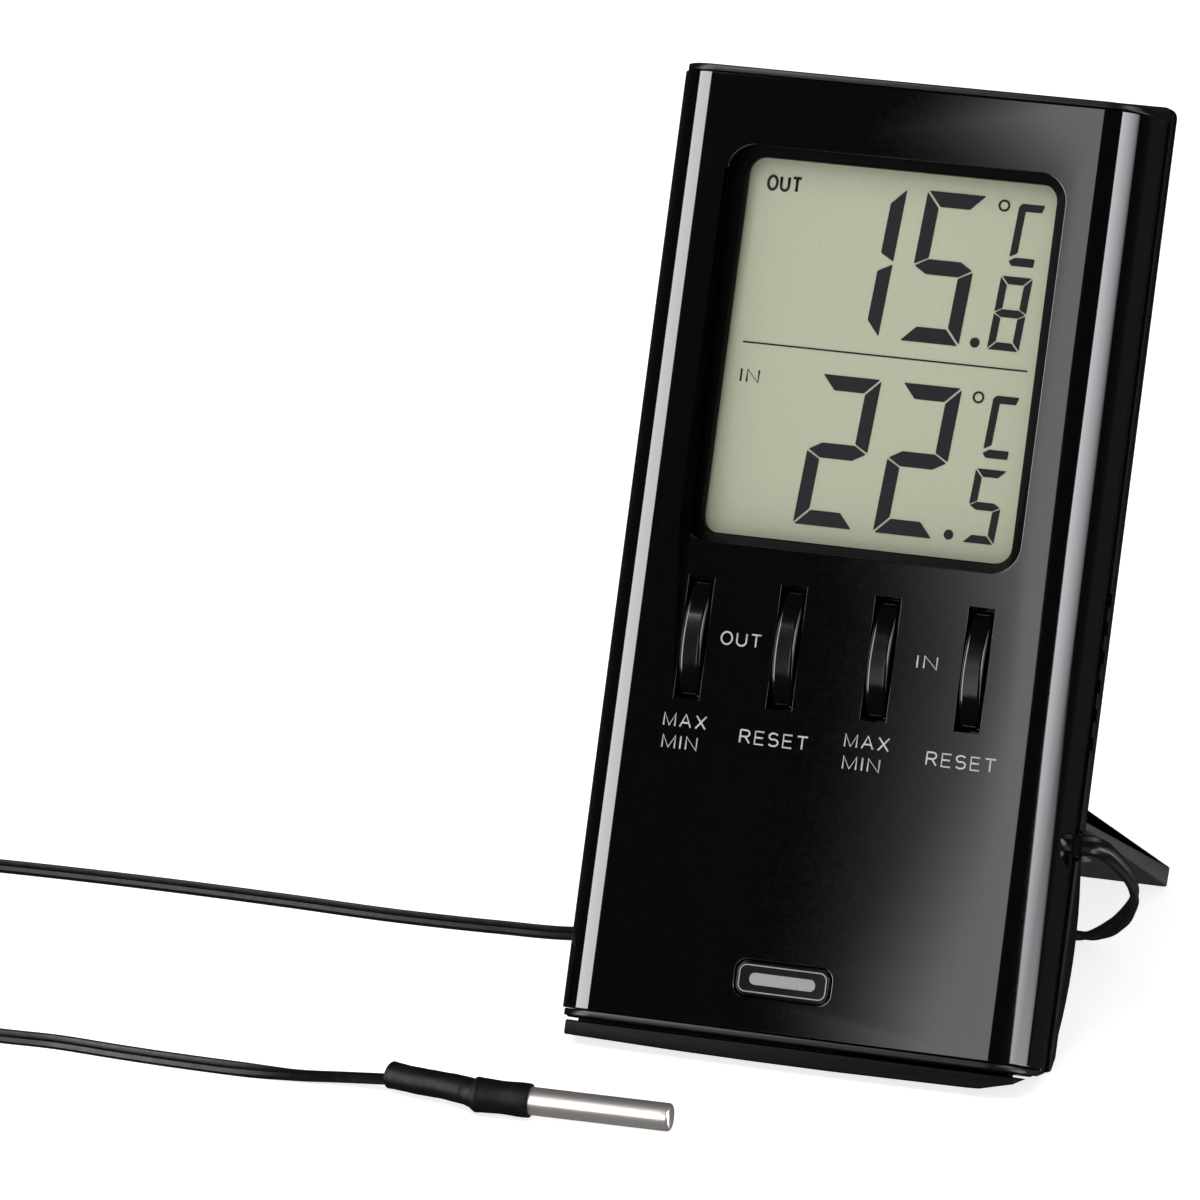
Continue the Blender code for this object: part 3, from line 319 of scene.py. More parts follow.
def make_lights():
    """A soft key light from the front left, and panels that draw the strips on the glossy case."""
    data = bpy.data.lights.new("key_light", "AREA")
    data.shape = "SQUARE"
    data.size = KEY_SIZE
    data.energy = KEY_POWER
    key = link(bpy.data.objects.new("key_light", data))
    key.location = CASE_MIDDLE + KEY_DISTANCE * direction(-25.0, 62.0)
    key.rotation_euler = (CASE_MIDDLE - key.location).to_track_quat("-Z", "Y").to_euler()
    key.visible_glossy = False
    neutral = (1.0, 1.0, 1.0)
    cool = (0.95, 0.96, 1.0)
    panel("left_panel", LEFT_PANEL, 1.0, neutral, STRIP_GLOW)
    panel("front_panel", FRONT_PANEL, 1.0, neutral, 3.2, fade=3.6, power=2.5)
    panel("right_panel", RIGHT_PANEL, 0.8, cool, STRIP_GLOW, fade=-50.0, power=0.6)
    world = bpy.data.worlds.new("studio")
    bpy.context.scene.world = world
    world.use_nodes = True
    background = world.node_tree.nodes["Background"]
    background.inputs["Color"].default_value = (1.0, 1.0, 1.0, 1.0)
    background.inputs["Strength"].default_value = WORLD_STRENGTH
    bpy.context.scene.view_settings.view_transform = "Standard"


# ---------------------------------------------------------------- materials


def new_look(name, colour, roughness, metallic=0.0):
    """A material with its Principled shader: (material, node tree, shader)."""
    look = bpy.data.materials.new(name)
    look.use_nodes = True
    shader = look.node_tree.nodes["Principled BSDF"]
    shader.inputs["Base Color"].default_value = (*colour, 1.0)
    shader.inputs["Roughness"].default_value = roughness
    shader.inputs["Metallic"].default_value = metallic
    return look, look.node_tree, shader


def object_noise(tree, scale, detail=3.0, stretch=(1.0, 1.0, 1.0)):
    """Noise fixed to the object, at a scale per metre."""
    place = tree.nodes.new("ShaderNodeTexCoord")
    fit = tree.nodes.new("ShaderNodeMapping")
    fit.inputs["Scale"].default_value = stretch
    noise = tree.nodes.new("ShaderNodeTexNoise")
    noise.inputs["Scale"].default_value = scale
    noise.inputs["Detail"].default_value = detail
    tree.links.new(place.outputs["Object"], fit.inputs["Vector"])
    tree.links.new(fit.outputs["Vector"], noise.inputs["Vector"])
    return noise


def vary_roughness(tree, shader, noise, low, high):
    spread = tree.nodes.new("ShaderNodeMapRange")
    spread.inputs["From Min"].default_value = 0.3
    spread.inputs["From Max"].default_value = 0.7
    spread.inputs["To Min"].default_value = low
    spread.inputs["To Max"].default_value = high
    tree.links.new(noise.outputs["Fac"], spread.inputs["Value"])
    tree.links.new(spread.outputs["Result"], shader.inputs["Roughness"])


def vary_colour(tree, shader, noise, dark, light):
    ramp = tree.nodes.new("ShaderNodeValToRGB")
    first, last = ramp.color_ramp.elements
    first.position = 0.3
    first.color = (*dark, 1.0)
    last.position = 0.7
    last.color = (*light, 1.0)
    tree.links.new(noise.outputs["Fac"], ramp.inputs["Fac"])
    tree.links.new(ramp.outputs["Color"], shader.inputs["Base Color"])


def add_bump(tree, shader, noise, height, strength=1.0):
    bump = tree.nodes.new("ShaderNodeBump")
    bump.inputs["Strength"].default_value = strength
    bump.inputs["Distance"].default_value = height
    tree.links.new(noise.outputs["Fac"], bump.inputs["Height"])
    tree.links.new(bump.outputs["Normal"], shader.inputs["Normal"])


def gloss_black():
    look, tree, shader = new_look("gloss_black", (0.0012, 0.0012, 0.0014), 0.05)
    vary_roughness(tree, shader, object_noise(tree, 1500.0, 2.0), 0.045, 0.065)
    return look


def moulded_plastic(name, shade, roughness, grain, depth, specular=0.5):
    """Spark-eroded plastic, with a fine grain and slightly uneven gloss."""
    look, tree, shader = new_look(name, (shade, shade, shade * 1.06), roughness)
    shader.inputs["Specular IOR Level"].default_value = specular
    noise = object_noise(tree, grain, 4.0)
    vary_roughness(tree, shader, object_noise(tree, grain / 12, 2.0), roughness * 0.92, roughness * 1.1)
    vary_colour(tree, shader, noise, (shade * 0.8,) * 3, (shade * 1.25,) * 3)
    add_bump(tree, shader, noise, depth, 0.6)
    return look


def display_grey_green():
    look, tree, shader = new_look("display_grey_green", (0.5, 0.52, 0.38), 0.45)
    noise = object_noise(tree, 3500.0, 4.0)
    vary_colour(tree, shader, noise, (0.49, 0.51, 0.365), (0.53, 0.55, 0.40))
    shader.inputs["Specular IOR Level"].default_value = 0.12
    return look


def ink(name, colour, roughness):
    look, tree, shader = new_look(name, colour, roughness)
    shader.inputs["Specular IOR Level"].default_value = 0.08
    noise = object_noise(tree, 2500.0, 3.0)
    dark = tuple(c * 0.9 for c in colour)
    light = tuple(min(1.0, c * 1.08) for c in colour)
    vary_colour(tree, shader, noise, dark, light)
    return look


def lead_rubber():
    look, tree, shader = new_look("lead_rubber", (0.006, 0.006, 0.007), 0.35)
    shader.inputs["Specular IOR Level"].default_value = 0.2
    noise = object_noise(tree, 900.0, 4.0)
    vary_roughness(tree, shader, noise, 0.30, 0.44)
    add_bump(tree, shader, object_noise(tree, 2600.0, 2.0), 0.02 * MM, 0.5)
    return look


def shrink_rubber():
    look, tree, shader = new_look("shrink_rubber", (0.005, 0.005, 0.007), 0.5)
    shader.inputs["Specular IOR Level"].default_value = 0.11
    noise = object_noise(tree, 1400.0, 5.0)
    vary_roughness(tree, shader, noise, 0.42, 0.6)
    add_bump(tree, shader, noise, 0.05 * MM, 0.7)
    return look


def stainless():
    look, tree, shader = new_look("stainless", (0.84, 0.79, 0.76), 0.3, 0.85)
    noise = object_noise(tree, 120.0, 4.0, (1.0, 30.0, 30.0))
    vary_roughness(tree, shader, noise, 0.29, 0.32)
    return look


def metal(name, colour, roughness):
    look, tree, shader = new_look(name, colour, roughness, 1.0)
    noise = object_noise(tree, 1200.0, 3.0)
    vary_roughness(tree, shader, noise, roughness - 0.06, roughness + 0.1)
    return look


def plain(name, colour, roughness, grain=1500.0):
    """A simple inner material, with a little variation of its colour and gloss."""
    look, tree, shader = new_look(name, colour, roughness)
    noise = object_noise(tree, grain, 3.0)
    dark = tuple(c * 0.85 for c in colour)
    light = tuple(min(1.0, c * 1.15) for c in colour)
    vary_colour(tree, shader, noise, dark, light)
    vary_roughness(tree, shader, noise, roughness - 0.05, roughness + 0.05)
    return look


# ---------------------------------------------------------------- mesh helpers


def object_from_bmesh(name, shape):
    bmesh.ops.recalc_face_normals(shape, faces=shape.faces)
    mesh = bpy.data.meshes.new(name)
    shape.to_mesh(mesh)
    shape.free()
    return link(bpy.data.objects.new(name, mesh))


def settled_mesh(item):
    """The mesh that the object's modifiers or curve settings make."""
    bpy.context.view_layer.update()
    graph = bpy.context.evaluated_depsgraph_get()
    return bpy.data.meshes.new_from_object(item.evaluated_get(graph))


def settle(item):
    """The same object with its modifiers or curve settings made into plain mesh."""
    name = item.name
    shape = bmesh.new()
    shape.from_mesh(settled_mesh(item))
    bmesh.ops.remove_doubles(shape, verts=shape.verts, dist=0.0000005)
    bpy.data.objects.remove(item, do_unlink=True)
    made = object_from_bmesh(name, shape)
    made.name = name
    return made


def arc(centre, radius, start, end, steps):
    """Points on a circle, between two angles in degrees."""
    points = []
    for step in range(steps + 1):
        angle = math.radians(start + (end - start) * step / steps)
        points.append((centre[0] + radius * math.cos(angle), centre[1] + radius * math.sin(angle)))
    return points


def rounded_rectangle(left, right, low, top, radius, steps=10):
    return (
        arc((right - radius, low + radius), radius, -90, 0, steps)
        + arc((right - radius, top - radius), radius, 0, 90, steps)
        + arc((left + radius, top - radius), radius, 90, 180, steps)
        + arc((left + radius, low + radius), radius, 180, 270, steps)
    )


OUTLINE_FRAMES = {
    "z": Matrix.Identity(4),
    "y": Matrix(((1, 0, 0, 0), (0, 0, -1, 0), (0, 1, 0, 0), (0, 0, 0, 1))),
    "x": Matrix(((0, 0, 1, 0), (1, 0, 0, 0), (0, 1, 0, 0), (0, 0, 0, 1))),
}


def extruded(name, outlines, axis, low, high):
    """Flat outlines, holes among them, made thick along x, y or z between low and high."""
    curve = bpy.data.curves.new(name, "CURVE")
    curve.dimensions = "2D"
    curve.fill_mode = "BOTH"
    curve.extrude = (high - low) / 2
    for outline in outlines:
        spline = curve.splines.new("POLY")
        spline.points.add(len(outline) - 1)
        for point, (across, up) in zip(spline.points, outline):
            point.co = (across, up, 0.0, 1.0)
        spline.use_cyclic_u = True
    made = settle(link(bpy.data.objects.new(name, curve)))
    middle = (low + high) / 2
    shift = {"x": (middle, 0, 0), "y": (0, middle, 0), "z": (0, 0, middle)}[axis]
    made.data.transform(Matrix.Translation(shift) @ OUTLINE_FRAMES[axis])
    return made


def cut(target, tool):
    change = target.modifiers.new("cut", "BOOLEAN")
    change.operation = "DIFFERENCE"
    change.solver = "EXACT"
    change.object = tool
    mesh = settled_mesh(target)
    target.modifiers.remove(change)
    target.data = mesh
    bpy.data.objects.remove(tool, do_unlink=True)


def box(name, low, high):
    low = Vector(low)
    high = Vector(high)
    shape = bmesh.new()
    bmesh.ops.create_cube(shape, size=1.0)
    bmesh.ops.scale(shape, vec=high - low, verts=shape.verts)
    bmesh.ops.translate(shape, vec=(low + high) / 2, verts=shape.verts)
    return object_from_bmesh(name, shape)


def merge_flats(item, angle=0.5):
    """Dissolve the edges inside flat faces, so that a bevel runs along whole edges."""
    shape = bmesh.new()
    shape.from_mesh(item.data)
    bmesh.ops.remove_doubles(shape, verts=shape.verts, dist=0.000001)
    bmesh.ops.dissolve_limit(
        shape, angle_limit=math.radians(angle), verts=shape.verts, edges=shape.edges
    )
    shape.to_mesh(item.data)
    shape.free()


def weigh_edges(item, weight_at, angle=40.0):
    """Give each sharp edge a share of the rounding, from the place of its middle."""
    shape = bmesh.new()
    shape.from_mesh(item.data)
    weights = shape.edges.layers.float.new("bevel_weight_edge")
    for edge in shape.edges:
        if edge.calc_face_angle(0.0) > math.radians(angle):
            edge[weights] = weight_at(*((edge.verts[0].co + edge.verts[1].co) / 2))
    shape.to_mesh(item.data)
    shape.free()


def soften(item, width, segments=3, angle=35.0, weighted=False):
    """Round the sharp edges and keep the flats shaded flat."""
    bevel = item.modifiers.new("rounded_edges", "BEVEL")
    bevel.width = width
    bevel.segments = segments
    bevel.limit_method = "WEIGHT" if weighted else "ANGLE"
    bevel.angle_limit = math.radians(angle)
    bevel.use_clamp_overlap = False
    bevel.harden_normals = True
    item.data.shade_smooth()
    mesh = settled_mesh(item)
    item.modifiers.clear()
    item.data = mesh


def dress(item, look, body):
    """Give a piece its material and the body that it rides on."""
    item.data.materials.clear()
    item.data.materials.append(look)
    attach(item, body)


def refined(name, node, width, look, body, segments=3, angle=35.0):
    """A piece with the CAD node's shape and rounded edges, which stands for that node."""
    mesh = NODES[node].data.copy()
    item = link(bpy.data.objects.new(name, mesh))
    merge_flats(item)
    soften(item, width, segments, angle)
    dress(item, look, body)
    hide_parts(node)
    return item


def look_where(item, look, inside):
    """Give the faces whose middles lie in a part of the case another material."""
    item.data.materials.append(look)
    number = len(item.data.materials) - 1
    to_case = CASE.inverted()
    for face in item.data.polygons:
        if inside(*(to_case @ face.center)):
            face.material_index = number


# ---------------------------------------------------------------- cords


def smooth_route(points, spacing):
    """Points along the smooth curve through a route, about a spacing apart."""
    route = [Vector(point) for point in points]
    route = [2 * route[0] - route[1]] + route + [2 * route[-1] - route[-2]]
    fine = []
    for before, start, end, after in zip(route, route[1:], route[2:], route[3:]):
        steps = max(1, round((end - start).length / spacing))
        for step in range(steps):
            t = step / steps
            bend = 2 * start + (end - before) * t
            bend += (2 * before - 5 * start + 4 * end - after) * t * t
            bend += (3 * start - before - 3 * end + after) * t * t * t
            fine.append(bend / 2)
    fine.append(route[-2])
    return fine


def length_of(points):
    return sum((b - a).length for a, b in zip(points, points[1:]))


def ease(share):
    share = min(1.0, max(0.0, share))
    return share * share * (3 - 2 * share)


def coil_route(turns):
    """The wound length: flat layers of side-by-side turns, in at the outside below and out over the top."""
    outer = COIL_FIRST_RADIUS + (COIL_COLUMNS - 1) * COIL_COLUMN
    entry = Vector(LEAD_RUN[-1]) - COIL_CENTRE
    start_angle = math.atan2(entry.y, entry.x)
    per_turn = 40
    points = []
    last = round(turns * per_turn)
    for step in range(1, last):
        turn = step / per_turn
        place = int(turn)
        share = ease((turn - place - 0.8) / 0.2)
        spots = []
        for number in (place, place + 1):
            layer, column = divmod(number, COIL_COLUMNS)
            column = COIL_COLUMNS - 1 - column if layer % 2 == 0 else column
            spots.append((COIL_FIRST_RADIUS + column * COIL_COLUMN, COIL_FLOOR + layer * COIL_LAYER))
        radius = spots[0][0] + (spots[1][0] - spots[0][0]) * share
        height = spots[0][1] + (spots[1][1] - spots[0][1]) * share
        arriving = 1 - ease(turn / 0.3)
        radius += (entry.to_2d().length - radius) * arriving
        height += (STRAND_RADIUS + 0.05 * MM - height) * arriving
        leaving = ease((turn - turns + 0.42) / 0.4)
        radius += (outer + 3.3 * MM - radius) * leaving
        if leaving > 0.0:
            top = COIL_FLOOR + (layer + 0.15) * COIL_LAYER
            height = max(height, top) + (5.2 * MM - max(height, top)) * ease((leaving - 0.55) / 0.45)
        angle = start_angle + 2 * math.pi * turn
        points.append(COIL_CENTRE + Vector((radius * math.cos(angle), radius * math.sin(angle), height)))
    return points


def cross_axes(path, index):
    """The axes of a path at one of its points: along it, level across it and upright across it."""
    before = path[max(0, index - 1)]
    after = path[min(len(path) - 1, index + 1)]
    along = (after - before).normalized()
    level = Vector((0.0, 0.0, 1.0)).cross(along).normalized()
    return along, level, along.cross(level)


def skinned(name, shape, rings, sharp_angle):
    """An object from rings of vertices, with a skin between them and a cap at each end."""
    count = len(rings[0])
    for first, second in zip(rings, rings[1:]):
        for side in range(count):
            other = (side + 1) % count
            shape.faces.new((first[side], first[other], second[other], second[side]))
    shape.faces.new(rings[0])
    shape.faces.new(list(reversed(rings[-1])))
    item = object_from_bmesh(name, shape)
    item.data.shade_smooth()
    item.data.set_sharp_from_angle(angle=math.radians(sharp_angle))
    return item


def flat_sweep(name, path, lobe_points, spread, turned):
    """A flat twin lead along a path: two strands side by side with a web between them.

    spread(distance) is how far apart the strands' middles are, and turned(distance) is 0 where the
    flat lies level and 1 where it stands on edge.
    """
    shape = bmesh.new()
    rings = []
    distance = 0.0
    for index, place in enumerate(path):
        along, level, upright = cross_axes(path, index)
        angle = math.pi / 2 * turned(distance)
        wide = level * math.cos(angle) + upright * math.sin(angle)
        thin = along.cross(wide)
        half = spread(distance) / 2
        ring = []
        for side in (1, -1):
            first = -150.0 if side == 1 else 30.0
            for step in range(lobe_points):
                turn = math.radians(first + 300.0 * step / (lobe_points - 1))
                across = side * half + STRAND_RADIUS * math.cos(turn)
                up = STRAND_RADIUS * math.sin(turn)
                ring.append(shape.verts.new(place + wide * across + thin * up))
        rings.append(ring)
        if index + 1 < len(path):
            distance += (path[index + 1] - place).length
    return skinned(name, shape, rings, 50)


def lowered(points):
    """Route points moved down from the middle of a round lead to the middle of a flat one that lies level."""
    drop = LEAD_WIDTH / 2 - STRAND_RADIUS
    moved = []
    for x, y, z in points:
        low = z - drop * ease((0.012 - z) / 0.009)
        moved.append((x, y, max(low, STRAND_RADIUS + 0.05 * MM)))
    return moved


def swept_tube(name, path, radii, sides=32, squeeze=1.0):
    """A round or flattened tube with its own radius at each point of its path, closed at both ends."""
    shape = bmesh.new()
    rings = []
    for index, place in enumerate(path):
        level, upright = cross_axes(path, index)[1:]
        ring = []
        for side in range(sides):
            turn = 2 * math.pi * side / sides
            across = radii[index] * math.cos(turn)
            up = radii[index] * squeeze * math.sin(turn)
            ring.append(shape.verts.new(place + level * across + upright * up))
        rings.append(ring)
    return skinned(name, shape, rings, 40)


def make_lead():
    """The flat lead: on edge where it leaves the bush, tilted on its two free runs and level in the coil."""
    run = smooth_route(lowered(LEAD_RUN), 1.0 * MM)
    tail = smooth_route(lowered(PROBE_RUN), 1.2 * MM)
    wanted = LEAD_LENGTH - length_of(run) - length_of(tail)
    entry = Vector(LEAD_RUN[-1]) - COIL_CENTRE
    leave = Vector(PROBE_RUN[0]) - COIL_CENTRE
    part_turn = (math.atan2(leave.y, leave.x) - math.atan2(entry.y, entry.x)) / (2 * math.pi) % 1.0
    mean_radius = COIL_FIRST_RADIUS + (COIL_COLUMNS - 1) / 2 * COIL_COLUMN
    whole_turns = round(wanted / (2 * math.pi * mean_radius) - part_turn)
    path = run + coil_route(whole_turns + part_turn) + tail
    whole = length_of(path)
    settled = length_of(run) - 8 * MM

    def spread(distance):
        return 2 * STRAND_RADIUS + 0.5 * MM * (1 - ease(distance / (9 * MM)))

    def turned(distance):
        return (
            1 - (1 + RUN_TILT) * ease((distance - 25 * MM) / (35 * MM))
            + RUN_TILT * ease((distance - settled) / (20 * MM))
            + TAIL_TILT * ease((distance - whole + 150 * MM) / (40 * MM))
            - TAIL_TILT * ease((distance - whole + 22 * MM) / (14 * MM))
        )

    lead = flat_sweep("sensor_lead", path, 6, spread, turned)
    dress(lead, LEAD_LOOK, "case")
    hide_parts("sensor_lead_run", "sensor_lead_coil", "sensor_lead_probe_run")
    return lead, path


def make_sleeves():
    """Two heat-shrink sleeves: a slim one on the lead, and a wider one over it and the probe's end."""
    along = (PROBE_TIP - PROBE_START).normalized()
    path = smooth_route(SLEEVE_REAR, 0.25 * MM)
    path += [SLEEVE_FRONT_START + along * (share * MM) for share in (0.25, 0.6)]
    count = len(path)
    radii = []
    for index in range(count):
        share = index / (count - 1)
        radius = SLIM_SLEEVE_RADIUS + 0.08 * MM * ease((share - 0.55) / 0.4)
        radius += 0.07 * MM * math.exp(-((share / 0.03) ** 2))
        radius += 0.02 * MM * math.sin(23 * share) * math.sin(7 * share)
        radii.append(radius)
    rear = swept_tube("heat_shrink_slim", path, radii, 32, 0.94)
    dress(rear, SHRINK_LOOK, "case")
    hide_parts("heat_shrink_rear")
    steps = 40
    path = [SLEEVE_FRONT_START + along * (WIDE_SLEEVE_LENGTH * step / steps) for step in range(steps + 1)]
    radii = []
    for step in range(steps + 1):
        share = step / steps
        radius = WIDE_SLEEVE_RADIUS + 0.05 * MM * math.sin(9 * share)
        radius -= 0.25 * MM * (1 - ease(share / 0.07))
        radius += 0.08 * MM * math.exp(-(((share - 0.09) / 0.05) ** 2))
        radius -= 0.05 * MM * (1 - ease((1 - share) / 0.03))
        radii.append(radius)
    front = swept_tube("heat_shrink_wide", path, radii, 40)
    dress(front, SHRINK_LOOK, "case")
    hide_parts("heat_shrink_front")
    return [rear, front]


def make_probe():
    """The stainless probe: a drawn tube whose closed end has a rounded edge and a flat face."""
    along = (PROBE_TIP - PROBE_START).normalized()
    length = (PROBE_TIP - PROBE_START).length
    steps = 24
    straight = length - PROBE_HIDDEN - PROBE_EDGE
    path = [PROBE_START + along * (PROBE_HIDDEN + straight * step / steps) for step in range(steps + 1)]
    radii = [PROBE_RADIUS] * (steps + 1)
    for step in range(1, 9):
        turn = math.radians(90.0 * step / 8)
        path.append(PROBE_START + along * (length - PROBE_EDGE + PROBE_EDGE * math.sin(turn)))
        radii.append(PROBE_RADIUS - PROBE_EDGE + PROBE_EDGE * math.cos(turn))
    probe = swept_tube("probe_sheath", path, radii, 48)
    dress(probe, STEEL_LOOK, "case")
    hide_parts("probe_tube")
    return probe


def make_tie():
    """A band that holds the coil's turns together."""
    y = COIL_CENTRE.y
    low = 0.06 * MM
    outer = rounded_rectangle(y + 14.7 * MM, y + 25.3 * MM, low, 8.75 * MM, 1.6 * MM, 8)
    inner = rounded_rectangle(y + 15.25 * MM, y + 24.75 * MM, low + 0.6 * MM, 8.15 * MM, 1.1 * MM, 8)
    tie = extruded("lead_tie_band", [outer, inner], "x", COIL_CENTRE.x - 1.5 * MM, COIL_CENTRE.x + 1.5 * MM)
    soften(tie, 0.12 * MM, 2, 50.0)
    dress(tie, SHRINK_LOOK, "case")
    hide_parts("lead_tie")
    return tie


# ---------------------------------------------------------------- case


def lean(item):
    """Lean a piece made in the case's own frame."""
    item.data.transform(CASE)


def fascia_edge(x, y, z):
    """How much of the full bevel an edge of the fascia gets: crisp slots, and a rounder window side."""
    if abs(z - KEY_Z) < 9 * MM and abs(x) < 21 * MM:
        return SLOT_EDGE_SHARE
    if abs(x - WINDOW[0]) < 0.5 * MM and WINDOW[2] + 3 * MM < z < WINDOW[3] - 3 * MM:
        return 1.0
    return FRONT_EDGE_SHARE


def make_fascia():
    """The glossy sheet that wraps round the front and both sides, with its window, slots and pocket."""
    half = CASE_WIDTH / 2
    inner = ROLL_RADIUS - FASCIA_WALL
    left = (-half + ROLL_RADIUS, ROLL_RADIUS)
    right = (half - ROLL_RADIUS, ROLL_RADIUS)
    outline = [(-half, FASCIA_DEPTH)]
    outline += arc(left, ROLL_RADIUS, 180, 270, 36)
    outline += arc(right, ROLL_RADIUS, 270, 360, 36)
    outline += [(half, FASCIA_DEPTH), (half - FASCIA_WALL, FASCIA_DEPTH)]
    outline += arc(right, inner, 360, 270, 12)
    outline += arc(left, inner, 270, 180, 12)
    outline += [(-half + FASCIA_WALL, FASCIA_DEPTH)]
    fascia = extruded("fascia", [outline], "z", FASCIA_LOW, FASCIA_TOP)
    window = rounded_rectangle(*WINDOW, WINDOW_CORNER)
    cut(fascia, extruded("window_cutter", [window], "y", -1 * MM, 3 * MM))
    for x in KEY_X:
        low = (x - SLOT_HALF_WIDTH, -1 * MM, KEY_Z - SLOT_HALF_HEIGHT)
        high = (x + SLOT_HALF_WIDTH, 3 * MM, KEY_Z + SLOT_HALF_HEIGHT)
        cut(fascia, box("slot_cutter", low, high))
    pocket = rounded_rectangle(
        BADGE_X - 6.3 * MM, BADGE_X + 6.3 * MM, BADGE_Z - 2.3 * MM, BADGE_Z + 2.3 * MM, 1.5 * MM
    )
    cut(fascia, extruded("pocket_cutter", [pocket], "y", -1 * MM, 0.8 * MM))
    merge_flats(fascia, 0.1)
    weigh_edges(fascia, fascia_edge)
    soften(fascia, EDGE_ROUNDING, 3, 40.0, weighted=True)
    lean(fascia)
    dress(fascia, GLOSS_LOOK, "case")
    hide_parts("front_fascia")


def make_foot_gap_shade():
    """A dark strip put inside the gap between the housing and the foot as painted shade: it stands for no
    real part and only keeps the gap dark, so that no light shows through.
    """
    seat = box("foot_gap_shade", (-28.9 * MM, 6 * MM, -0.55 * MM), (5 * MM, 9 * MM, -0.15 * MM))
    lean(seat)
    dress(seat, COVER_LOOK, "case")


def make_keys():
    """Four long keys with arched fronts, each on its own body."""
    half_height = 7.45 * MM
    half_width = 1.35 * MM
    arch_radius = 13.3 * MM
    proud = 1.1 * MM
    rear = 3.9 * MM
    reach = math.degrees(math.asin(half_height / arch_radius))
    for body, x in zip(KEY_BODIES, KEY_X):
        outline = arc((arch_radius - proud, KEY_Z), arch_radius, 180 + reach, 180 - reach, 40)
        outline += [(rear, KEY_Z + half_height), (rear, KEY_Z - half_height)]
        key = extruded(body + "_cap", [outline], "x", x - half_width, x + half_width)
        soften(key, 0.5 * MM, 6, 50.0)
        flange_outline = rounded_rectangle(
            x - 2.6 * MM, x + 2.6 * MM, KEY_Z - 8.6 * MM, KEY_Z + 8.6 * MM, 0.5 * MM, 4
        )
        flange = extruded(body + "_flange", [flange_outline], "y", rear, 4.7 * MM)
        soften(flange, 0.1 * MM, 2, 50.0)
        for piece in (key, flange):
            lean(piece)
            dress(piece, KEY_LOOK, body)
        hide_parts(body)


def make_badge():
    """A dark rounded plate with a bright rim line and a plain bright bar, without any lettering."""
    left, right = BADGE_X - 6.0 * MM, BADGE_X + 6.0 * MM
    low, top = BADGE_Z - 2.0 * MM, BADGE_Z + 2.0 * MM
    base = rounded_rectangle(left, right, low, top, 1.2 * MM)
    plate = extruded("badge_base", [base], "y", -0.12 * MM, 0.5 * MM)
    soften(plate, 0.08 * MM, 2, 50.0)
    lean(plate)
    dress(plate, KEY_LOOK, "case")
    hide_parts("badge_plate")
    inset = 0.28 * MM
    outer = rounded_rectangle(left + inset, right - inset, low + inset, top - inset, 0.95 * MM)
    inset = 0.42 * MM
    inner = rounded_rectangle(left + inset, right - inset, low + inset, top - inset, 0.82 * MM)
    rim = extruded("badge_rim", [outer, inner], "y", -0.2 * MM, -0.1 * MM)
    lean(rim)
    dress(rim, SILVER_LOOK, "case")
    long = 4.3 * MM
    tall = 0.75 * MM
    bar = rounded_rectangle(BADGE_X - long, BADGE_X + long, BADGE_Z - tall, BADGE_Z + tall, 0.7 * MM)
    bar = extruded("badge_bar", [bar], "y", -0.24 * MM, -0.1 * MM)
    soften(bar, 0.06 * MM, 2, 50.0)
    lean(bar)
    dress(bar, SILVER_LOOK, "case")


# ---------------------------------------------------------------- display and legends

SEGMENTS = {"1": "bc", "2": "abged", "5": "afgcd", "8": "abcdefg"}
SLANT = 0.07
LETTER_GAP = 0.36
INK_THICKNESS = 0.04 * MM
LEGEND_WEIGHT = 0.22 * MM


def rounded_corners(polygon, radius):
    """A polygon with each corner cut into a short round."""
    points = []
    count = len(polygon)
    for index, corner in enumerate(polygon):
        corner = Vector(corner)
        before = Vector(polygon[index - 1])
        after = Vector(polygon[(index + 1) % count])
        start = corner + (before - corner).normalized() * radius
        end = corner + (after - corner).normalized() * radius
        for step in range(4):
            t = step / 3
            spot = start * (1 - t) ** 2 + corner * 2 * t * (1 - t) + end * t * t
            points.append((spot.x, spot.y))
    return points


def digit_outlines(digit, left, low, width, height, bar, side, gap):
    """The lit segments of a slanted seven-segment digit: level bars, upright sides and mitred gaps."""
    middle = height / 2
    half = bar / 2
    shapes = {
        "a": [
            (gap, height),
            (width - gap, height),
            (width - side - gap, height - bar),
            (side + gap, height - bar),
        ],
        "d": [(gap, 0), (width - gap, 0), (width - side - gap, bar), (side + gap, bar)],
        "f": [(0, middle + gap), (0, height - gap), (side, height - bar - gap), (side, middle + half + gap)],
        "g": [
            (0.8 * gap, middle),
            (side, middle + half),
            (width - side, middle + half),
            (width - 0.8 * gap, middle),
            (width - side, middle - half),
            (side, middle - half),
        ],
    }
    shapes["b"] = [(width - x, z) for x, z in shapes["f"]]
    shapes["e"] = [(x, height - z) for x, z in shapes["f"]]
    shapes["c"] = [(width - x, height - z) for x, z in shapes["f"]]
    outlines = []
    for name in SEGMENTS[digit]:
        slanted = [(left + x + SLANT * z, low + z) for x, z in shapes[name]]
        outlines.append(rounded_corners(slanted, 0.09 * bar))
    return outlines


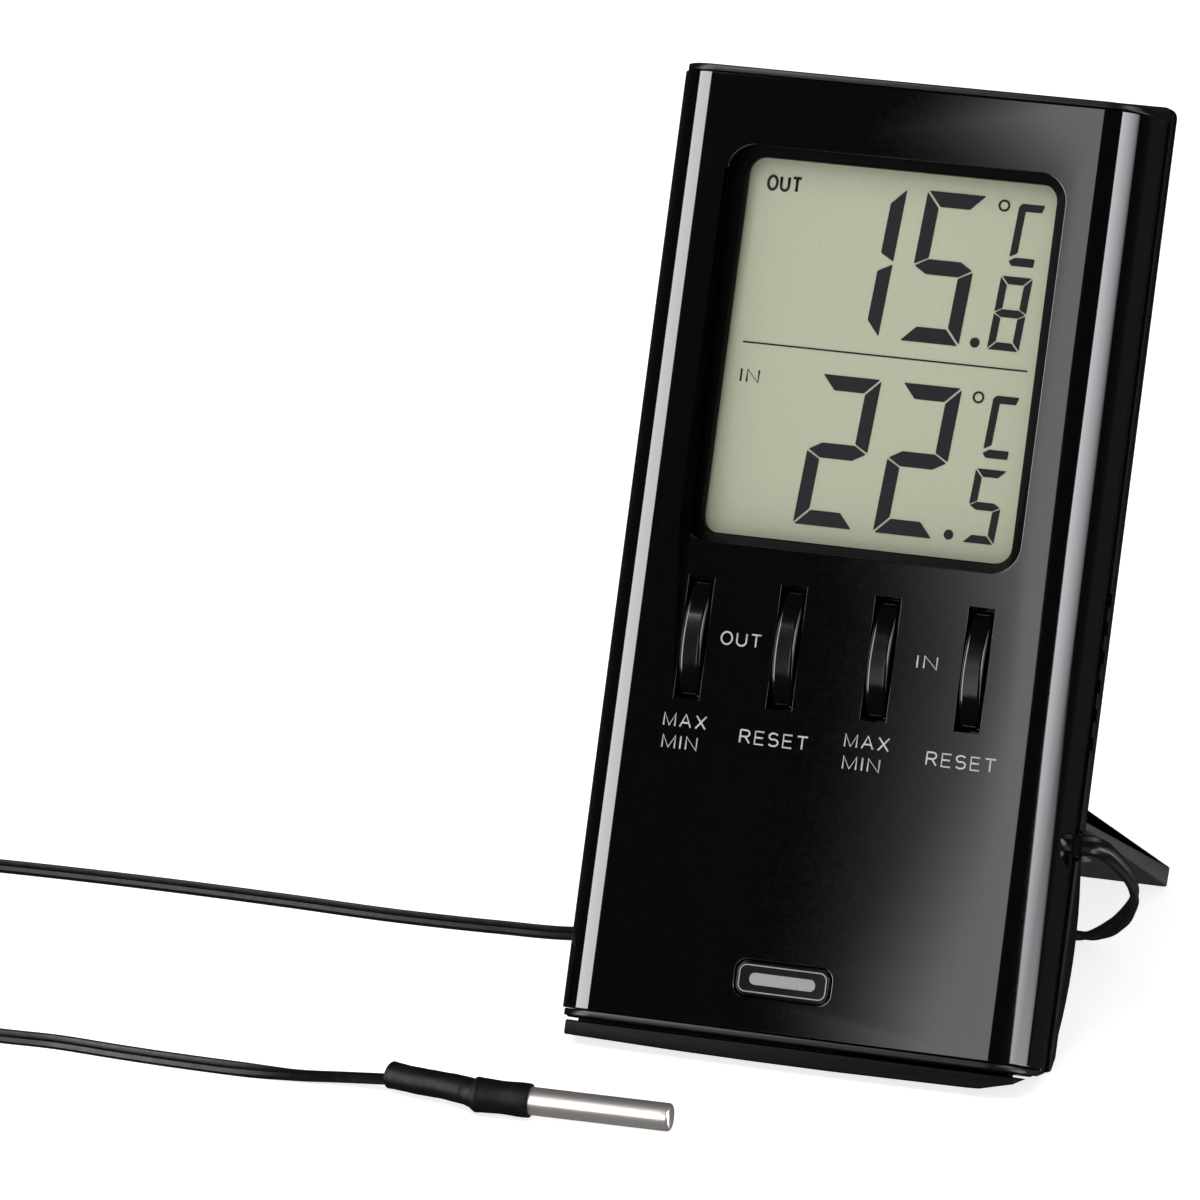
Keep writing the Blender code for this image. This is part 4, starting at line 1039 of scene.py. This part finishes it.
def celsius_outlines(left, low):
    """A slanted C of two strokes, and the degree ring in front of it."""
    height = 7.95 * MM
    width = 3.3 * MM
    stroke = 0.95 * MM
    hook = [
        (0, 1.25 * MM),
        (0, height - 0.4 * MM),
        (0.4 * MM, height),
        (width, height),
        (width - 0.25 * MM, height - stroke),
        (stroke, height - stroke),
        (stroke, 1.75 * MM),
    ]
    foot = [
        (0, 0.7 * MM),
        (0.75 * MM, 1.2 * MM),
        (width, 1.2 * MM),
        (width, 0.15 * MM),
        (0.45 * MM, 0.15 * MM),
    ]
    outlines = []
    for shape in (hook, foot):
        slanted = [(left + x + SLANT * z, low + z) for x, z in shape]
        outlines.append(rounded_corners(slanted, 0.15 * MM))
    ring = (left - 1.4 * MM, low + 7.5 * MM)
    outlines.append(arc(ring, 0.76 * MM, 0, 345, 23))
    outlines.append(arc(ring, 0.50 * MM, 0, 345, 23))
    return outlines


def letter_strokes(letter):
    """The middle lines of a plain capital, 1 tall: its width and its strokes, each (points, closed)."""
    if letter == "O":
        ring = []
        for degrees in range(0, 360, 10):
            a = math.radians(degrees)
            ring.append((0.40 + 0.40 * math.cos(a), 0.5 + 0.5 * math.sin(a)))
        return 0.80, [(ring, True)]
    if letter == "U":
        cup = [(0.0, 1.0), (0.0, 0.35)] + arc((0.35, 0.35), 0.35, 180, 360, 14) + [(0.70, 1.0)]
        return 0.70, [(cup, False)]
    if letter == "S":
        upper = arc((0.33, 0.745), 0.255, 30, 255, 14)
        lower = arc((0.33, 0.275), 0.275, 80, -150, 14)
        wide = [(0.33 + (x - 0.33) * 1.2, z) for x, z in upper + lower]
        return 0.66, [(wide, False)]
    if letter == "R":
        stem = [(0.0, 0.0), (0.0, 1.0)]
        bowl = [(0.0, 1.0), (0.38, 1.0)] + arc((0.38, 0.745), 0.255, 75, -75, 10)
        bowl += [(0.38, 0.49), (0.0, 0.49)]
        leg = [(0.36, 0.49), (0.68, 0.0)]
        return 0.68, [(stem, False), (bowl, False), (leg, False)]
    strokes = {
        "A": (0.76, [[(0.0, 0.0), (0.38, 1.0), (0.76, 0.0)], [(0.14, 0.34), (0.62, 0.34)]]),
        "E": (0.60, [[(0.60, 1.0), (0.0, 1.0), (0.0, 0.0), (0.62, 0.0)], [(0.0, 0.52), (0.56, 0.52)]]),
        "I": (0.0, [[(0.0, 0.0), (0.0, 1.0)]]),
        "M": (0.80, [[(0.0, 0.0), (0.0, 1.0), (0.40, 0.03), (0.80, 1.0), (0.80, 0.0)]]),
        "N": (0.68, [[(0.0, 0.0), (0.0, 1.0), (0.68, 0.0), (0.68, 1.0)]]),
        "T": (0.72, [[(0.0, 1.0), (0.72, 1.0)], [(0.36, 1.0), (0.36, 0.0)]]),
        "X": (0.70, [[(0.0, 0.0), (0.70, 1.0)], [(0.0, 1.0), (0.70, 0.0)]]),
    }
    width, lines = strokes[letter]
    return width, [(line, False) for line in lines]


def lettering(name, text, left, right, low, top, depth, weight, look, slot):
    """A word in plain capitals of one stroke weight, fitted between two sides and two heights on a face."""
    advance = 0.0
    strokes = []
    for letter in text:
        width, lines = letter_strokes(letter)
        strokes += [([(advance + x, z) for x, z in line], closed) for line, closed in lines]
        advance += width + LETTER_GAP
    advance -= LETTER_GAP
    across = (right - left - weight) / advance
    up = top - low - weight
    curve = bpy.data.curves.new(name, "CURVE")
    curve.dimensions = "3D"
    curve.bevel_depth = weight / 2
    curve.bevel_resolution = 2
    curve.use_fill_caps = True
    for line, closed in strokes:
        spline = curve.splines.new("POLY")
        spline.points.add(len(line) - 1)
        for point, (x, z) in zip(spline.points, line):
            point.co = (left + weight / 2 + x * across, 0.0, low + weight / 2 + z * up, 1.0)
        spline.use_cyclic_u = closed
    item = settle(link(bpy.data.objects.new(name, curve)))
    flat = Matrix.Diagonal((1.0, INK_THICKNESS / weight, 1.0, 1.0))
    item.data.transform(Matrix.Translation((0.0, depth, 0.0)) @ flat)
    item.data.shade_smooth()
    lean(item)
    dress(item, look, "case")


def make_display():
    """The lit segments, the line between the two readings and their small captions."""
    outlines = []
    big = {"width": 7.8 * MM, "height": 18.9 * MM, "bar": 1.9 * MM, "side": 1.78 * MM, "gap": 0.19 * MM}
    small = {"width": 4.1 * MM, "height": 9.25 * MM, "bar": 0.98 * MM, "side": 0.95 * MM, "gap": 0.14 * MM}
    outlines += digit_outlines("1", -8.65 * MM, 88.28 * MM, **big)
    outlines += digit_outlines("5", 1.85 * MM, 88.28 * MM, **big)
    outlines += digit_outlines("8", 13.35 * MM, 88.32 * MM, **small)
    outlines += digit_outlines("2", -8.75 * MM, 64.2 * MM, **big)
    outlines += digit_outlines("2", 1.75 * MM, 64.2 * MM, **big)
    outlines += digit_outlines("5", 13.35 * MM, 64.25 * MM, **small)
    for spot in ((11.7 * MM, 88.95 * MM), (11.55 * MM, 64.93 * MM)):
        outlines.append(arc(spot, 0.62 * MM, 0, 345, 23))
    outlines += celsius_outlines(14.62 * MM, 98.75 * MM)
    outlines += celsius_outlines(14.5 * MM, 74.75 * MM)
    left, right = -18.3 * MM, 18.9 * MM
    low, top = 85.97 * MM, 86.17 * MM
    outlines.append([(left, low), (right, low), (right, top), (left, top)])
    front = LCD_FRONT - 0.06 * MM
    back = LCD_FRONT - 0.01 * MM
    segments = extruded("lcd_segments", outlines, "y", front, back)
    lean(segments)
    dress(segments, SEGMENT_LOOK, "case")
    captions = (
        ("caption_out", "OUT", -17.9, -13.25, 105.2, 107.25, 0.36),
        ("caption_in", "IN", -18.1, -15.55, 81.0, 82.8, 0.24),
    )
    for name, text, left, right, low, top, weight in captions:
        spot = (left * MM, right * MM, low * MM, top * MM)
        lettering(name, text, *spot, (front + back) / 2, weight * MM, SEGMENT_LOOK, "lcd_glass")


def make_legends():
    """Printed words beside and under the keys."""
    words = (
        ("legend_out", "OUT", -14.85, -9.45, 48.0, 49.75),
        ("legend_in", "IN", 10.8, 13.55, 47.85, 49.6),
        ("legend_out_max", "MAX", -20.9, -15.2, 37.15, 38.95),
        ("legend_out_min", "MIN", -20.75, -16.05, 34.4, 36.2),
        ("legend_out_reset", "RESET", -10.75, -1.75, 36.1, 37.9),
        ("legend_in_max", "MAX", 2.85, 8.75, 37.15, 38.95),
        ("legend_in_min", "MIN", 2.95, 7.85, 34.4, 36.2),
        ("legend_in_reset", "RESET", 13.6, 22.7, 36.1, 37.9),
    )
    for name, text, left, right, low, top in words:
        spot = (left * MM, right * MM, low * MM, top * MM)
        lettering(name, text, *spot, -0.01 * MM, LEGEND_WEIGHT, LEGEND_LOOK, "badge_silver")


# ---------------------------------------------------------------- CAD nodes that stay as they are


def paint(node, look):
    """Give a CAD node that stays in view a procedural material."""
    mesh = NODES[node].data
    mesh.materials.clear()
    mesh.materials.append(look)


def make_inner_looks():
    """Materials of the display, the board, the battery and what else is inside."""
    paint("lcd_glass", DISPLAY_LOOK)
    paint("lcd_reflector", DISPLAY_LOOK)
    rubber = plain("connector_rubber", (0.25, 0.28, 0.30), 0.7)
    board = plain("board_green", (0.02, 0.14, 0.06), 0.4)
    epoxy = plain("epoxy_black", (0.012, 0.012, 0.012), 0.35)
    zinc = metal("zinc_steel", (0.55, 0.55, 0.57), 0.32)
    nickel = metal("nickel", (0.66, 0.64, 0.60), 0.25)
    switch = plain("switch_grey", (0.06, 0.06, 0.065), 0.5)
    jacket = plain("cell_jacket", (0.05, 0.07, 0.11), 0.25, 300.0)
    red = plain("wire_red", (0.32, 0.012, 0.010), 0.4)
    black = plain("wire_black", (0.012, 0.012, 0.012), 0.4)
    grey = plain("wire_grey", (0.28, 0.28, 0.28), 0.4)
    groups = (
        (rubber, ("lcd_connector_lower", "lcd_connector_upper")),
        (board, ("circuit_board",)),
        (epoxy, ("chip_blob", "indoor_thermistor", "probe_thermistor")),
        (nickel, ("battery_spring", "battery_plate")),
        (jacket, ("aaa_battery",)),
        (red, ("battery_wire_red",)),
        (black, ("battery_wire_black", "sensor_wire_lower")),
        (grey, ("sensor_wire_upper",)),
        (LEAD_LOOK, ("sensor_lead_inner", "lead_bush")),
        (switch, tuple(body.replace("_key", "_switch") for body in KEY_BODIES)),
        (zinc, tuple(name for name in NODES if "_screw" in name)),
    )
    for look, names in groups:
        for name in names:
            paint(name, look)


def in_window(x, y, z):
    """The ledge inside the window, whose faces get a darker and duller copy of the housing material as
    painted shade.
    """
    return abs(x) < 23 * MM and 59 * MM < z < 112 * MM and y < 5 * MM


def on_side_band(x, y, z):
    """The bands at the case's sides, behind the fascia, whose faces get a lighter and glossier copy of the
    housing material as painted light.
    """
    return abs(x) > 29.5 * MM and y > 10.3 * MM


make_camera()
make_floor()
make_dome()
make_lights()

GLOSS_LOOK = gloss_black()
HOUSING_LOOK = moulded_plastic("satin_black", 0.004, 0.30, 2500.0, 0.004 * MM, 0.16)
# A darker, less glossy copy of the housing material for the recessed ledge in the window: painted shade.
LEDGE_SHADE_LOOK = moulded_plastic("ledge_painted_shade", 0.0015, 0.35, 2500.0, 0.004 * MM, 0.02)
# A lighter, more specular copy of the housing material for the side bands: painted light.
BAND_LIGHT_LOOK = moulded_plastic("band_painted_light", 0.010, 0.42, 2500.0, 0.01 * MM, 0.5)
COVER_LOOK = moulded_plastic("textured_black", 0.0025, 0.45, 1800.0, 0.03 * MM, 0.05)
LEG_LOOK = moulded_plastic("leg_black", 0.028, 0.5, 1800.0, 0.03 * MM)
KEY_LOOK = moulded_plastic("key_black", 0.002, 0.12, 2500.0, 0.001 * MM, 0.3)
DISPLAY_LOOK = display_grey_green()
SEGMENT_LOOK = ink("segment_black", (0.003, 0.003, 0.005), 0.4)
LEGEND_LOOK = ink("legend_grey", (0.62, 0.62, 0.64), 0.5)
SILVER_LOOK = ink("badge_silver", (0.40, 0.40, 0.41), 0.4)
LEAD_LOOK = lead_rubber()
SHRINK_LOOK = shrink_rubber()
STEEL_LOOK = stainless()

lead, lead_path = make_lead()
sleeves = make_sleeves()
probe = make_probe()
tie = make_tie()

make_fascia()
housing = refined("housing", "front_housing", 0.18 * MM, HOUSING_LOOK, "case")
# The recessed ledge in the window gets painted shade, and the side bands get painted light.
look_where(housing, LEDGE_SHADE_LOOK, in_window)
look_where(housing, BAND_LIGHT_LOOK, on_side_band)
refined("back_shell", "rear_cover", 0.22 * MM, COVER_LOOK, "case")
# A dark filler in the foot's gap: painted shade, not a part of the case.
make_foot_gap_shade()
refined("door", "battery_door", 0.2 * MM, COVER_LOOK, "battery_door")
refined("leg", "stand", 0.2 * MM, LEG_LOOK, "stand")
make_keys()
make_badge()
make_display()
make_legends()
make_inner_looks()
